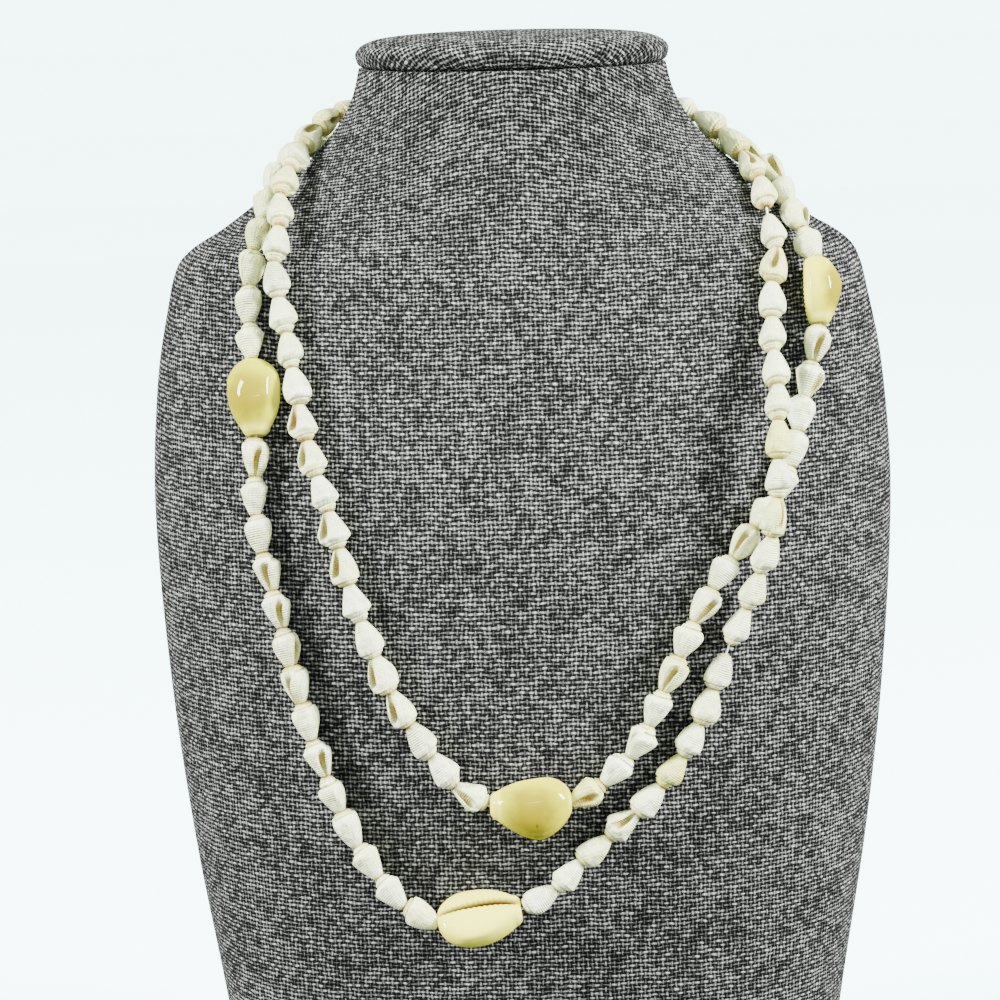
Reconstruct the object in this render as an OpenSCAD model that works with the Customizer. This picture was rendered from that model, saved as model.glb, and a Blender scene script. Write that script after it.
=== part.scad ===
// Two-strand necklace of small shells and cowries, laid round a linen covered neck bust.
// The origin is on the bust's flat foot, under the middle of the neck.
// The chest faces -Y and +Z is up. Millimetres.

/* [Bust] */
// Height of the covered form, without its cap
bust_h = 330; // [280:5:380]
// Greatest width, across the chest below the shoulders
bust_w = 222; // [190:2:250]
// Width of the neck at its top
neck_w = 91; // [80:1:100]
// Depth of the neck at its top, front to back
neck_d = 58; // [50:1:66]
// How far the chest stands in front of the middle of the neck
front_d = 70; // [56:1:84]
// How far the foot stands behind the middle of the neck
back_d = 44; // [38:1:54]

/* [Cap] */
// Thickness of the padded cap on the neck
cap_h = 10; // [7:0.5:14]
// How far the cap's rim stands out past the neck
cap_lip = 0.8; // [0.3:0.1:2]
// How far the cap's underside is drawn in from the neck's edge
cap_tuck = 2.2; // [1.5:0.1:4]

/* [Small shells] */
// Length of a small shell
shell_len = 10.3; // [9:0.1:13]
// Width of the widest small shell
shell_w = 8.2; // [6.5:0.1:8.8]
// Clear length of thread between two shells
shell_gap = 0.7; // [0.5:0.05:1.5]
// Width of the shell's long mouth
mouth_w = 1.0; // [0.6:0.1:1.4]
// Depth of the shell's long mouth
mouth_depth = 1.6; // [1:0.1:1.8]

/* [Cowries] */
// Length of the middle cowrie
cowrie_len = 23.4; // [20:0.2:26]
// Width of the middle cowrie
cowrie_w = 16; // [13:0.2:17]
// Height of the middle cowrie, mouth side to back
cowrie_h = 11.4; // [10:0.2:13]
// Width of a cowrie's slit
slit_w = 1.2; // [0.8:0.1:1.8]
// Depth of a cowrie's slit
slit_depth = 1.8; // [1:0.1:2.4]
// Depth of the notch at each end of a cowrie
notch_depth = 2.2; // [1.6:0.2:3]
// Radius of that notch
notch_r = 2.8; // [2.5:0.1:3]

/* [Thread] */
// Thickness of the thread
thread_d = 0.7; // [0.5:0.05:0.9]
// Width of the hole drilled through every shell
hole_d = 1.6; // [1.3:0.1:1.8]
// Clear space between the shells and the linen
rest_gap = 0.5; // [0.4:0.1:0.9]
// Length of bare thread where a strand shows a gap
bare_len = 3.2; // [1:0.2:5]
// Length of bare thread beside the clasp
tail_len = 13; // [10:1:18]

/* [Clasp] */
// Length of the plain barrel clasp
clasp_len = 14; // [12:1:16]
// Thickness of the barrel clasp
clasp_d = 5; // [4:0.5:6]
// How far each thread runs into the clasp
clasp_seat = 3; // [2:0.5:4]

/* [Hidden] */

linen = "#77797b";
shell_white = "#f2efe4";
cowrie_yellow = "#edd88a";
cowrie_ivory = "#f1e2c6";
thread_white = "#f4f4ee";
clasp_metal = "#c9b98a";

// Sections of the bust from foot to neck. Each length is a share of the named sizes.
// Columns: height (of bust_h), width (0 neck_w, 1 bust_w), front (0 neck_d / 2, 1 front_d),
// back (0 neck_d / 2, 1 back_d), line of greatest width (of front_d), squareness
SECTIONS = [
    [0.000, 0.66, 0.76, 1.00, 0.00, 2.60],
    [0.150, 0.76, 0.92, 0.87, 0.00, 2.60],
    [0.300, 0.875, 1.00, 0.73, 0.00, 2.55],
    [0.450, 0.957, 1.00, 0.60, 0.00, 2.45],
    [0.610, 1.00, 0.88, 0.47, 0.00, 2.25],
    [0.720, 0.97, 0.61, 0.37, 0.03, 2.10],
    [0.790, 0.91, 0.40, 0.30, 0.07, 2.00],
    [0.826, 0.86, 0.29, 0.27, 0.10, 1.95],
    [0.842, 0.78, 0.25, 0.26, 0.10, 1.92],
    [0.856, 0.66, 0.22, 0.24, 0.10, 1.90],
    [0.876, 0.52, 0.17, 0.20, 0.09, 1.90],
    [0.898, 0.37, 0.12, 0.15, 0.07, 1.92],
    [0.922, 0.22, 0.07, 0.10, 0.06, 1.95],
    [0.950, 0.10, 0.03, 0.05, 0.04, 2.00],
    [0.976, 0.03, 0.01, 0.02, 0.03, 2.00],
    [1.000, 0.00, 0.00, 0.00, 0.03, 2.00]];
HEIGHT = 0;
WIDTH = 1;
FRONT = 2;
BACK = 3;
SIDE = 4;
SQUARE = 5;

// Rings of the bust's skin to each section, and points to each ring
skin_steps = 2;
skin_sides = 48;

// Sections of the cap: height (of cap_h), how far the rim swells (-1 cap_tuck in, 1 cap_lip out),
// share of the plan that is left
CAP_SECTIONS = [
    [0.00, -1.0, 1.00],
    [0.10, -0.1, 1.00],
    [0.28, 0.8, 1.00],
    [0.45, 1.0, 1.00],
    [0.60, 0.6, 0.985],
    [0.74, 0.2, 0.945],
    [0.86, 0.0, 0.86],
    [0.94, 0.0, 0.70],
    [1.00, 0.0, 0.38]];

// Chosen points of the two strands on the bust's skin, each from clasp to clasp.
// Columns: angle round the bust (-90 front, 0 right side), height (of bust_h),
// lift off the skin (in shell widths), where a strand passes over the other or over its cowrie
OUTER_ROUTE = [
    [-255, 0.937, 0], [-242, 0.928, 0], [-226, 0.926, 0], [-211, 0.926, 0], [-196, 0.922, 0],
    [-180, 0.912, 0], [-168, 0.898, 0], [-157, 0.8815, 0], [-147, 0.859, 0], [-140, 0.835, 0],
    [-137, 0.800, 0], [-134.5, 0.760, 0.06], [-131.8, 0.722, 0.1], [-131, 0.680, 0.06],
    [-130.5, 0.630, 0], [-126, 0.550, 0], [-122.5, 0.485, 0], [-118.6, 0.4175, 0],
    [-113, 0.3455, 0], [-105.2, 0.2932, 0.556], [-101.5, 0.2814, 0.66], [-94.9, 0.2748, 0.65],
    [-90.1, 0.2946, 0.537], [-84.6, 0.336, 0.137], [-77, 0.378, 0.05], [-70, 0.430, 0],
    [-63.8, 0.505, 0.05], [-60.8, 0.537, 0.25], [-58.2, 0.572, 0.6], [-56, 0.615, 1.15],
    [-54.5, 0.660, 1.2], [-53, 0.700, 1.1], [-50.5, 0.745, 0.45], [-48, 0.785, 0.05],
    [-44.5, 0.820, 0], [-39, 0.845, 0], [-34.5, 0.859, 0], [-27.5, 0.875, 0], [-17, 0.896, 0],
    [-5, 0.915, 0], [8, 0.931, 0], [25, 0.946, 0], [43, 0.954, 0], [60, 0.956, 0], [75, 0.949, 0]];
INNER_ROUTE = [
    [75, 0.937, 0], [62, 0.928, 0], [45, 0.925, 0], [28, 0.920, 0], [10, 0.907, 0],
    [-2, 0.893, 0], [-13, 0.879, 0], [-23, 0.864, 0], [-31.5, 0.845, 0.08], [-35.2, 0.820, 0.28],
    [-35.8, 0.793, 0.47], [-39.8, 0.758, 0.28], [-44, 0.715, 0], [-48, 0.672, 0], [-51, 0.640, 0],
    [-56, 0.615, 0], [-61, 0.588, 0], [-67, 0.548, 0], [-73, 0.486, 0], [-78, 0.428, 0],
    [-84.3, 0.389, 0.05], [-90.05, 0.3765, 0.12], [-95.9, 0.3865, 0.1], [-101.2, 0.4265, 0.03],
    [-107, 0.482, 0], [-112, 0.550, 0], [-117, 0.630, 0], [-122, 0.690, 0], [-125, 0.738, 0],
    [-129, 0.785, 0], [-132, 0.818, 0.15], [-135, 0.842, 0.35], [-142, 0.866, 0.4],
    [-151, 0.890, 0.4], [-163, 0.914, 0.2], [-176, 0.933, 0], [-192, 0.947, 0],
    [-210, 0.955, 0], [-227, 0.957, 0], [-242, 0.956, 0], [-255, 0.949, 0]];
route_steps = 6;

// Stops on each strand. Columns: row of the route at its middle, what it is, share of its
// named size
OUTER_STOPS = [[12, "cowrie", 0.96], [21, "cowrie", 1.07], [26, "bare", 1], [36, "bare", 1]];
INNER_STOPS = [[10, "cowrie", 0.88], [21, "cowrie", 1]];

// Widths of the small shells as shares of shell_w, used in turn
SHELL_WIDTHS = [1.00, 0.93, 0.97, 0.90, 0.98, 0.95, 0.92];
// Turns of the small shells' mouths about the thread, used in turn
SHELL_TURNS = [0, 140, 35, 250, 95, 310, 180, 60, 215, 275, 120];

// Outline of a small shell from spire to tip: place along its length, share of half its width
SHELL_OUTLINE = [
    [0.00, 0.36], [0.05, 0.52], [0.13, 0.60], [0.15, 0.76], [0.24, 0.94], [0.32, 1.00],
    [0.46, 0.97], [0.64, 0.82], [0.82, 0.60], [0.94, 0.43], [1.00, 0.36]];
// Where the mouth starts and ends along a small shell, and the wall left under its tip end
mouth_from = 0.27;
mouth_to = 0.92;
mouth_wall = 0.4;

// Outline of a cowrie from its broad to its narrow end. Columns: place along its length, share
// of half its width, of its height above the thread, of its depth below the thread
COWRIE_OUTLINE = [
    [0.00, 0.44, 0.50, 0.74],
    [0.04, 0.54, 0.56, 0.84],
    [0.11, 0.70, 0.68, 0.92],
    [0.20, 0.85, 0.82, 0.98],
    [0.32, 0.97, 0.94, 1.00],
    [0.45, 1.00, 1.00, 1.00],
    [0.60, 0.95, 0.99, 1.00],
    [0.75, 0.83, 0.90, 1.00],
    [0.88, 0.64, 0.74, 0.94],
    [0.96, 0.50, 0.58, 0.84],
    [1.00, 0.42, 0.50, 0.72]];
cowrie_sides = 20;
// Roundness of a cowrie's section on its mouth side, on its back, and across
mouth_round = 0.62;
back_round = 0.95;
width_round = 0.9;
// Height of the thread above a cowrie's mouth side, as on the small shells
mouth_drop = shell_w / 2;
// Turns of the cowries about the thread, 0 with the back away from the linen
left_turn = 0;
low_turn = 118;
centre_turn = 0;
right_turn = -50;

// Distance of the thread from the linen
rise = shell_w / 2 + rest_gap;

// Place of the clasp on the back of the neck (of bust_h), and its four bores
clasp_height = 0.943;
bore_room = 0.5;
bore_wall = 0.5;
clasp_bore = thread_d + bore_room;
clasp_pitch = clasp_bore + bore_wall;
bore_spare = 0.4;

// Sides of a drilled hole and of a turned shell, and of the thread
hole_sides = 24;
turned_sides = 32;
thread_sides = 6;
// How far a cutting shape runs past what it cuts
over = 1;

function between(low, high, share) = low + share * (high - low);

function unit(v) = v / norm(v);

// Blend of two values with given slopes
function ease(a, b, slope_a, slope_b, u) =
    (2 * u * u * u - 3 * u * u + 1) * a + (u * u * u - 2 * u * u + u) * slope_a
    + (3 * u * u - 2 * u * u * u) * b + (u * u * u - u * u) * slope_b;

// Row of the section table below a height
function row_below(s, i = 0) =
    (i >= len(SECTIONS) - 2 || s < SECTIONS[i + 1][HEIGHT]) ? i : row_below(s, i + 1);

// Slope of a column at a row of the section table
function row_slope(i, column) =
    let (low = max(i - 1, 0), high = min(i + 1, len(SECTIONS) - 1))
    (SECTIONS[high][column] - SECTIONS[low][column])
    / (SECTIONS[high][HEIGHT] - SECTIONS[low][HEIGHT]);

// Value of a column at any height share
function section(s, i, column) =
    let (step = SECTIONS[i + 1][HEIGHT] - SECTIONS[i][HEIGHT])
    ease(SECTIONS[i][column], SECTIONS[i + 1][column],
         step * row_slope(i, column), step * row_slope(i + 1, column),
         (s - SECTIONS[i][HEIGHT]) / step);

// Sine or cosine raised to a power with its sign kept, which squares or rounds an oval
function oval(value, power) = sign(value) * pow(abs(value), power);

// Point of the bust's skin at an angle round it and a height share
function skin(angle, s) =
    let (i = row_below(s),
         half_w = between(neck_w, bust_w, section(s, i, WIDTH)) / 2,
         front = between(neck_d / 2, front_d, section(s, i, FRONT)),
         back = between(neck_d / 2, back_d, section(s, i, BACK)),
         side = section(s, i, SIDE) * front_d,
         power = 2 / section(s, i, SQUARE),
         depth = sin(angle) < 0 ? front + side : back - side)
    [half_w * oval(cos(angle), power), side + depth * oval(sin(angle), power), s * bust_h];

// Outward direction of the skin, from two short steps on it
function outward(angle, s, turn = 0.5, climb = 0.0015) =
    unit(cross(skin(angle + turn, s) - skin(angle - turn, s),
               skin(angle, s + climb) - skin(angle, s - climb)));

// A route's rows with smooth rows in between
function smooth_rows(route) =
    let (last = len(route) - 1)
    [for (i = [0:last - 1])
        let (before = route[max(i - 1, 0)], a = route[i], b = route[i + 1],
             after = route[min(i + 2, last)])
        for (j = [0:(i == last - 1 ? route_steps : route_steps - 1)])
            ease(a, b, (b - before) / 2, (after - a) / 2, j / route_steps)];

// Running length at each point of a line
function running(points) =
    [for (i = 0, sum = 0; i < len(points);
          sum = sum + (i + 1 < len(points) ? norm(points[i + 1] - points[i]) : 0),
          i = i + 1) sum];

// A strand: points of its centre line, the skin's outward direction and the length run at each
function strand(route) =
    let (rows = smooth_rows(route),
         normals = [for (r = rows) outward(r[0], r[1])],
         points = [for (i = [0:len(rows) - 1])
             skin(rows[i][0], rows[i][1]) + normals[i] * (rise + rows[i][2] * shell_w)])
    [points, normals, running(points)];
POINTS = 0;
NORMALS = 1;
RUN = 2;

// Last point of a strand that lies before a running length
function point_before(run, d, low, high) =
    high - low <= 1 ? low
    : let (mid = floor((low + high) / 2))
      run[mid] <= d ? point_before(run, d, mid, high) : point_before(run, d, low, mid);

// Place or outward direction on a strand at a running length
function at(line, d, what = POINTS) =
    let (run = line[RUN],
         i = point_before(run, d, 0, len(run) - 1),
         share = (d - run[i]) / (run[i + 1] - run[i]))
    line[what][i] * (1 - share) + line[what][i + 1] * share;

// Length of thread that a stop takes up
function stop_len(stop) =
    stop[1] == "cowrie" ? stop[2] * cowrie_len + shell_gap : stop[2] * bare_len;

// Length taken up by each stop, as [start, end, share], with the bare tails at both ends
function stop_spans(line, stops) =
    let (whole = line[RUN][len(line[RUN]) - 1])
    [[0, tail_len, 1],
     for (stop = stops)
        let (middle = line[RUN][stop[0] * route_steps], half = stop_len(stop) / 2)
        [middle - half, middle + half, stop[2]],
     [whole - tail_len, whole, 1]];

// Shells that fill the stretch after a stop, and the length that each takes up
function shell_count(spans, k) =
    round((spans[k + 1][0] - spans[k][1]) / (shell_len + shell_gap));
function shell_pitch(spans, k) = (spans[k + 1][0] - spans[k][1]) / shell_count(spans, k);

// Start and end of every small shell along a strand
function shell_spans(spans) =
    [for (k = [0:len(spans) - 2])
        let (start = spans[k][1], pitch = shell_pitch(spans, k))
        for (j = [0:shell_count(spans, k) - 1])
            [start + j * pitch, start + (j + 1) * pitch]];

// Running lengths at which the thread bends: both ends of every shell and stop
function bends(spans) =
    [spans[0][0],
     for (k = [0:len(spans) - 2])
        for (j = [0:shell_count(spans, k)])
            spans[k][1] + j * shell_pitch(spans, k),
     spans[len(spans) - 1][1]];

OUTER = strand(OUTER_ROUTE);
INNER = strand(INNER_ROUTE);
outer_spans = stop_spans(OUTER, OUTER_STOPS);
inner_spans = stop_spans(INNER, INNER_STOPS);

// Middle of the clasp, just off the back of the neck
clasp_middle = skin(90, clasp_height) + outward(90, clasp_height) * (clasp_d / 2 + rest_gap);

// Point on a clasp bore's line. side is -1 left or 1 right, level is -1 low or 1 high,
// depth runs into the clasp from its end.
function in_clasp(side, level, depth) =
    clasp_middle + [side * (clasp_len / 2 - depth), 0, level * clasp_pitch / 2];

// Puts its child on a strand between two running lengths. The child lies along +Z
// with +X away from the linen.
module on_strand(line, span) {
    a = at(line, span[0]);
    b = at(line, span[1]);
    along = unit(b - a);
    side = unit(cross(along, at(line, (span[0] + span[1]) / 2, NORMALS)));
    out = cross(side, along);
    multmatrix([
        [out[0], side[0], along[0], a[0]],
        [out[1], side[1], along[1], a[1]],
        [out[2], side[2], along[2], a[2]],
        [0, 0, 0, 1]])
        children();
}

function chord(line, span) = norm(at(line, span[1]) - at(line, span[0]));

// Solid from rings that all have as many points
module lofted(rings) {
    n = len(rings[0]);
    last = len(rings) - 1;
    sides = [for (i = [0:last - 1]) for (j = [0:n - 1])
        let (a = i * n + j, b = i * n + (j + 1) % n)
        each [[a, a + n, b], [b, a + n, b + n]]];
    first_end = [for (j = [0:n - 1]) j];
    last_end = [for (j = [n - 1:-1:0]) last * n + j];
    polyhedron([for (ring = rings) each ring], concat(sides, [first_end, last_end]),
               convexity = 6);
}

module bust() {
    shares = [for (i = [0:len(SECTIONS) - 2]) for (j = [0:skin_steps - 1])
        between(SECTIONS[i][HEIGHT], SECTIONS[i + 1][HEIGHT], j / skin_steps)];
    color(linen)
        lofted([for (s = concat(shares, [1]))
            [for (k = [0:skin_sides - 1]) skin(k * 360 / skin_sides, s)]]);
}

module bust_cap() {
    middle = (skin(90, 1)[1] + skin(-90, 1)[1]) / 2;
    color(linen)
        lofted([for (row = CAP_SECTIONS)
            let (swell = row[1] * (row[1] < 0 ? cap_tuck : cap_lip))
            [for (k = [0:skin_sides - 1])
                let (angle = k * 360 / skin_sides)
                [row[2] * (neck_w / 2 + swell) * cos(angle),
                 middle + row[2] * (neck_d / 2 + swell) * sin(angle),
                 bust_h + row[0] * cap_h]]]);
}

// Hole drilled along +Z right through a shell
module drilled(reach) {
    translate([0, 0, -over])
        cylinder(d = hole_d, h = reach + 2 * over, $fn = hole_sides);
}

// Small drilled shell, spire at the start of its span and tip at the end
module small_shell(span_len, width_share, turn) {
    reach = span_len - shell_gap;
    half_w = shell_w * width_share / 2;
    translate([0, 0, shell_gap / 2])
        difference() {
            rotate_extrude($fn = turned_sides)
                polygon(concat([[0, 0]],
                               [for (p = SHELL_OUTLINE) [p[1] * half_w, p[0] * reach]],
                               [[0, reach]]));
            drilled(reach);
            rotate([0, 0, turn])
                mouth(half_w, reach);
        }
}

// Long mouth of a small shell, a slot from its shoulder to its tip
module mouth(half_w, reach) {
    rotate([90, 0, 0])
        linear_extrude(mouth_w, center = true)
            polygon([[half_w - mouth_depth, mouth_from * reach],
                     [half_w + over, mouth_from * reach],
                     [half_w + over, mouth_to * reach],
                     [hole_d / 2 + mouth_wall, mouth_to * reach]]);
}

module shells(line, spans) {
    for (i = [0:len(spans) - 1])
        on_strand(line, spans[i])
            small_shell(chord(line, spans[i]), SHELL_WIDTHS[i % len(SHELL_WIDTHS)],
                        SHELL_TURNS[i % len(SHELL_TURNS)]);
}

module outer_shells() {
    color(shell_white)
        shells(OUTER, shell_spans(outer_spans));
}

module inner_shells() {
    color(shell_white)
        shells(INNER, shell_spans(inner_spans));
}

// Point of a cowrie's skin, its back towards +X
function cowrie_point(row, angle, share, reach) =
    let (below = cos(angle) < 0, top = cowrie_h * share - mouth_drop)
    [oval(cos(angle), below ? mouth_round : back_round) * (below ? row[3] * mouth_drop : row[2] * top),
     oval(sin(angle), width_round) * row[1] * cowrie_w * share / 2,
     row[0] * reach];

// Cowrie round its thread, broad end at the start of its span
module cowrie(line, span, turn) {
    share = span[2];
    reach = chord(line, span) - shell_gap;
    on_strand(line, span)
        rotate([0, 0, turn])
            translate([0, 0, shell_gap / 2])
                difference() {
                    lofted([for (row = COWRIE_OUTLINE)
                        [for (k = [0:cowrie_sides - 1])
                            cowrie_point(row, -k * 360 / cowrie_sides, share, reach)]]);
                    drilled(reach);
                    notch(share);
                    translate([0, 0, reach])
                        mirror([0, 0, 1])
                            notch(share);
                    translate([-mouth_drop - over, -slit_w / 2, -over])
                        cube([slit_depth + over, slit_w, reach + 2 * over]);
                }
}

// Hollow at a cowrie's end that takes the end of the next shell
module notch(share) {
    mouth_r = notch_r * share;
    flare = (mouth_r - hole_d / 2) * over / notch_depth;
    translate([0, 0, -over])
        cylinder(r1 = mouth_r + flare, r2 = hole_d / 2, h = notch_depth + over,
                 $fn = hole_sides);
}

module cowrie_left() {
    color(cowrie_yellow)
        cowrie(OUTER, outer_spans[1], left_turn);
}

module cowrie_low() {
    color(cowrie_ivory)
        cowrie(OUTER, outer_spans[2], low_turn);
}

module cowrie_centre() {
    color(cowrie_yellow)
        cowrie(INNER, inner_spans[2], centre_turn);
}

module cowrie_right() {
    color(cowrie_yellow)
        cowrie(INNER, inner_spans[1], right_turn);
}

// Heading of a line of points at one of them, halfway between the stretches that meet there
function heading(path, i) =
    let (after = path[min(i + 1, len(path) - 1)] - path[i], before = path[i] - path[max(i - 1, 0)])
    norm(before) == 0 ? unit(after) : norm(after) == 0 ? unit(before)
    : unit(unit(before) + unit(after));

// Thread from clasp to clasp through the hole of every shell. start is the side of the clasp
// that it leaves, and levels are its bores there and at its other end.
module thread(line, spans, start, levels) {
    places = bends(spans);
    path = concat(
        [in_clasp(start, levels[0], clasp_seat), in_clasp(start, levels[0], -bore_spare)],
        [for (d = places) at(line, d)],
        [in_clasp(-start, levels[1], -bore_spare), in_clasp(-start, levels[1], clasp_seat)]);
    back = outward(90, clasp_height);
    normals = concat([back, back], [for (d = places) at(line, d, NORMALS)], [back, back]);
    lofted([for (i = [0:len(path) - 1])
        let (along = heading(path, i),
             side = unit(cross(along, normals[i])),
             out = cross(side, along))
        [for (k = [0:thread_sides - 1])
            let (angle = k * 360 / thread_sides)
            path[i] + thread_d / 2 * (cos(angle) * out + sin(angle) * side)]]);
}

module outer_thread() {
    color(thread_white)
        thread(OUTER, outer_spans, -1, [-1, 1]);
}

module inner_thread() {
    color(thread_white)
        thread(INNER, inner_spans, 1, [-1, 1]);
}

// Plain barrel with two bores in each end
module clasp() {
    color(clasp_metal)
        difference() {
            translate(clasp_middle - [clasp_len / 2, 0, 0])
                rotate([0, 90, 0])
                    cylinder(d = clasp_d, h = clasp_len, $fn = turned_sides);
            for (side = [-1, 1]) for (level = [-1, 1])
                translate(in_clasp(side, level, side > 0 ? clasp_seat + bore_spare : -over))
                    rotate([0, 90, 0])
                        cylinder(d = clasp_bore, h = clasp_seat + bore_spare + over, $fn = hole_sides);
        }
}

bust();
bust_cap();
outer_shells();
inner_shells();
cowrie_left();
cowrie_low();
cowrie_centre();
cowrie_right();
outer_thread();
inner_thread();
clasp();
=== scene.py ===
"""Looks of a two-strand shell necklace on a linen covered neck bust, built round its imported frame.
Metres. The chest faces -Y, +Z is up and the origin is on the bust's flat foot."""

import bpy
import numpy as np
from bpy.props import FloatProperty, FloatVectorProperty, PointerProperty
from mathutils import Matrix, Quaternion, Vector


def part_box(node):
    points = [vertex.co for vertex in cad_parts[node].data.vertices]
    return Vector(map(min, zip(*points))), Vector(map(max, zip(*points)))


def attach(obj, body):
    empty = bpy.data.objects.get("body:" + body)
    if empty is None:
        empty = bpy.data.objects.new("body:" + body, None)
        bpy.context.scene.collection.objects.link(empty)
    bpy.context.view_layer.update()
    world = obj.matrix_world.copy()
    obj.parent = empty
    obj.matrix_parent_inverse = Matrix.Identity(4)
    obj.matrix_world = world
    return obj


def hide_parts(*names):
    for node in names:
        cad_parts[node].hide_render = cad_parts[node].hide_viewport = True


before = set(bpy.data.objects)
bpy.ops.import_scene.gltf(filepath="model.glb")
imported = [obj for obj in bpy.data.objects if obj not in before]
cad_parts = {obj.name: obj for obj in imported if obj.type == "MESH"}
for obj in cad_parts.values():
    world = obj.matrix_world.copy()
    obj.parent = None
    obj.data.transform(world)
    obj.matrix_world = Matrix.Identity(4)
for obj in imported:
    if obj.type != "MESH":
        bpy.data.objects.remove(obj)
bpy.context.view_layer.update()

bl_info = {
    "name": "Shell necklace on neck bust",
    "version": (1, 0, 0),
    "blender": (4, 5, 0),
    "location": "3D View > Sidebar > Shell necklace",
    "description": "Two strands of small shells and cowries round a linen covered neck bust",
    "category": "Add Mesh",
}

BUST_LOW, BUST_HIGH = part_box("bust")

# Sections of the bust from foot to neck. Columns: height (of the bust's), width (0 neck, 1 greatest),
# front (0 neck, 1 greatest), back (0 neck, 1 greatest), line of greatest width (of the front's
# depth), squareness
SECTIONS = np.array([
    [0.000, 0.66, 0.76, 1.00, 0.00, 2.60],
    [0.150, 0.76, 0.92, 0.87, 0.00, 2.60],
    [0.300, 0.875, 1.00, 0.73, 0.00, 2.55],
    [0.450, 0.957, 1.00, 0.60, 0.00, 2.45],
    [0.610, 1.00, 0.88, 0.47, 0.00, 2.25],
    [0.720, 0.97, 0.61, 0.37, 0.03, 2.10],
    [0.790, 0.91, 0.40, 0.30, 0.07, 2.00],
    [0.826, 0.86, 0.29, 0.27, 0.10, 1.95],
    [0.842, 0.78, 0.25, 0.26, 0.10, 1.92],
    [0.856, 0.66, 0.22, 0.24, 0.10, 1.90],
    [0.876, 0.52, 0.17, 0.20, 0.09, 1.90],
    [0.898, 0.37, 0.12, 0.15, 0.07, 1.92],
    [0.922, 0.22, 0.07, 0.10, 0.06, 1.95],
    [0.950, 0.10, 0.03, 0.05, 0.04, 2.00],
    [0.976, 0.03, 0.01, 0.02, 0.03, 2.00],
    [1.000, 0.00, 0.00, 0.00, 0.03, 2.00]])

# Sections of the cap: height (of the cap's), swell of the rim (-1 tuck in, 1 lip out), share of the
# plan that is left
CAP_SECTIONS = np.array([
    [0.00, -1.0, 1.00], [0.10, -0.1, 1.00], [0.28, 0.8, 1.00], [0.45, 1.0, 1.00], [0.60, 0.6, 0.985],
    [0.74, 0.2, 0.945], [0.86, 0.0, 0.86], [0.94, 0.0, 0.70], [0.985, 0.0, 0.45], [1.00, 0.0, 0.20],
    [1.00, 0.0, 0.02]])

# The two strands' points on the bust's skin, each from clasp to clasp. Columns: angle
# round the bust (-90 front, 0 right side), height (of the bust's), lift off the skin (in shell widths)
OUTER_ROUTE = [
    [-255, 0.937, 0], [-242, 0.928, 0], [-226, 0.926, 0], [-211, 0.926, 0], [-196, 0.922, 0],
    [-180, 0.912, 0], [-168, 0.898, 0], [-157, 0.8815, 0], [-147, 0.859, 0], [-140, 0.835, 0],
    [-137, 0.800, 0], [-134.5, 0.760, 0.06], [-131.8, 0.722, 0.1], [-131, 0.680, 0.06],
    [-130.5, 0.630, 0], [-126, 0.550, 0], [-122.5, 0.485, 0], [-118.6, 0.4175, 0],
    [-113, 0.3455, 0], [-105.2, 0.2932, 0.556], [-101.5, 0.2814, 0.66], [-94.9, 0.2748, 0.65],
    [-90.1, 0.2946, 0.537], [-84.6, 0.336, 0.137], [-77, 0.378, 0.05], [-70, 0.430, 0],
    [-63.8, 0.505, 0.05], [-60.8, 0.537, 0.25], [-58.2, 0.572, 0.6], [-56, 0.615, 1.15],
    [-54.5, 0.660, 1.2], [-53, 0.700, 1.1], [-50.5, 0.745, 0.45], [-48, 0.785, 0.05],
    [-44.5, 0.820, 0], [-39, 0.845, 0], [-34.5, 0.859, 0], [-27.5, 0.875, 0], [-17, 0.896, 0],
    [-5, 0.915, 0], [8, 0.931, 0], [25, 0.946, 0], [43, 0.954, 0], [60, 0.956, 0], [75, 0.949, 0]]
INNER_ROUTE = [
    [75, 0.937, 0], [62, 0.928, 0], [45, 0.925, 0], [28, 0.920, 0], [10, 0.907, 0],
    [-2, 0.893, 0], [-13, 0.879, 0], [-23, 0.864, 0], [-31.5, 0.845, 0.08], [-35.2, 0.820, 0.28],
    [-35.8, 0.793, 0.47], [-39.8, 0.758, 0.28], [-44, 0.715, 0], [-48, 0.672, 0], [-51, 0.640, 0],
    [-56, 0.615, 0], [-61, 0.588, 0], [-67, 0.548, 0], [-73, 0.486, 0], [-78, 0.428, 0],
    [-84.3, 0.389, 0.05], [-90.05, 0.3765, 0.12], [-95.9, 0.3865, 0.1], [-101.2, 0.4265, 0.03],
    [-107, 0.482, 0], [-112, 0.550, 0], [-117, 0.630, 0], [-122, 0.690, 0], [-125, 0.738, 0],
    [-129, 0.785, 0], [-132, 0.818, 0.15], [-135, 0.842, 0.35], [-142, 0.866, 0.4],
    [-151, 0.890, 0.4], [-163, 0.914, 0.2], [-176, 0.933, 0], [-192, 0.947, 0],
    [-210, 0.955, 0], [-227, 0.957, 0], [-242, 0.956, 0], [-255, 0.949, 0]]
ROUTE_STEPS = 6

# Stops on each strand: row of the route at its middle, what it is, share of its named size
OUTER_STOPS = [(12, "cowrie", 0.96), (21, "cowrie", 1.07), (26, "bare", 1.0), (36, "bare", 1.0)]
INNER_STOPS = [(10, "cowrie", 0.88), (21, "cowrie", 1.0)]
STRANDS = {"outer": (OUTER_ROUTE, OUTER_STOPS), "inner": (INNER_ROUTE, INNER_STOPS)}

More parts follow.
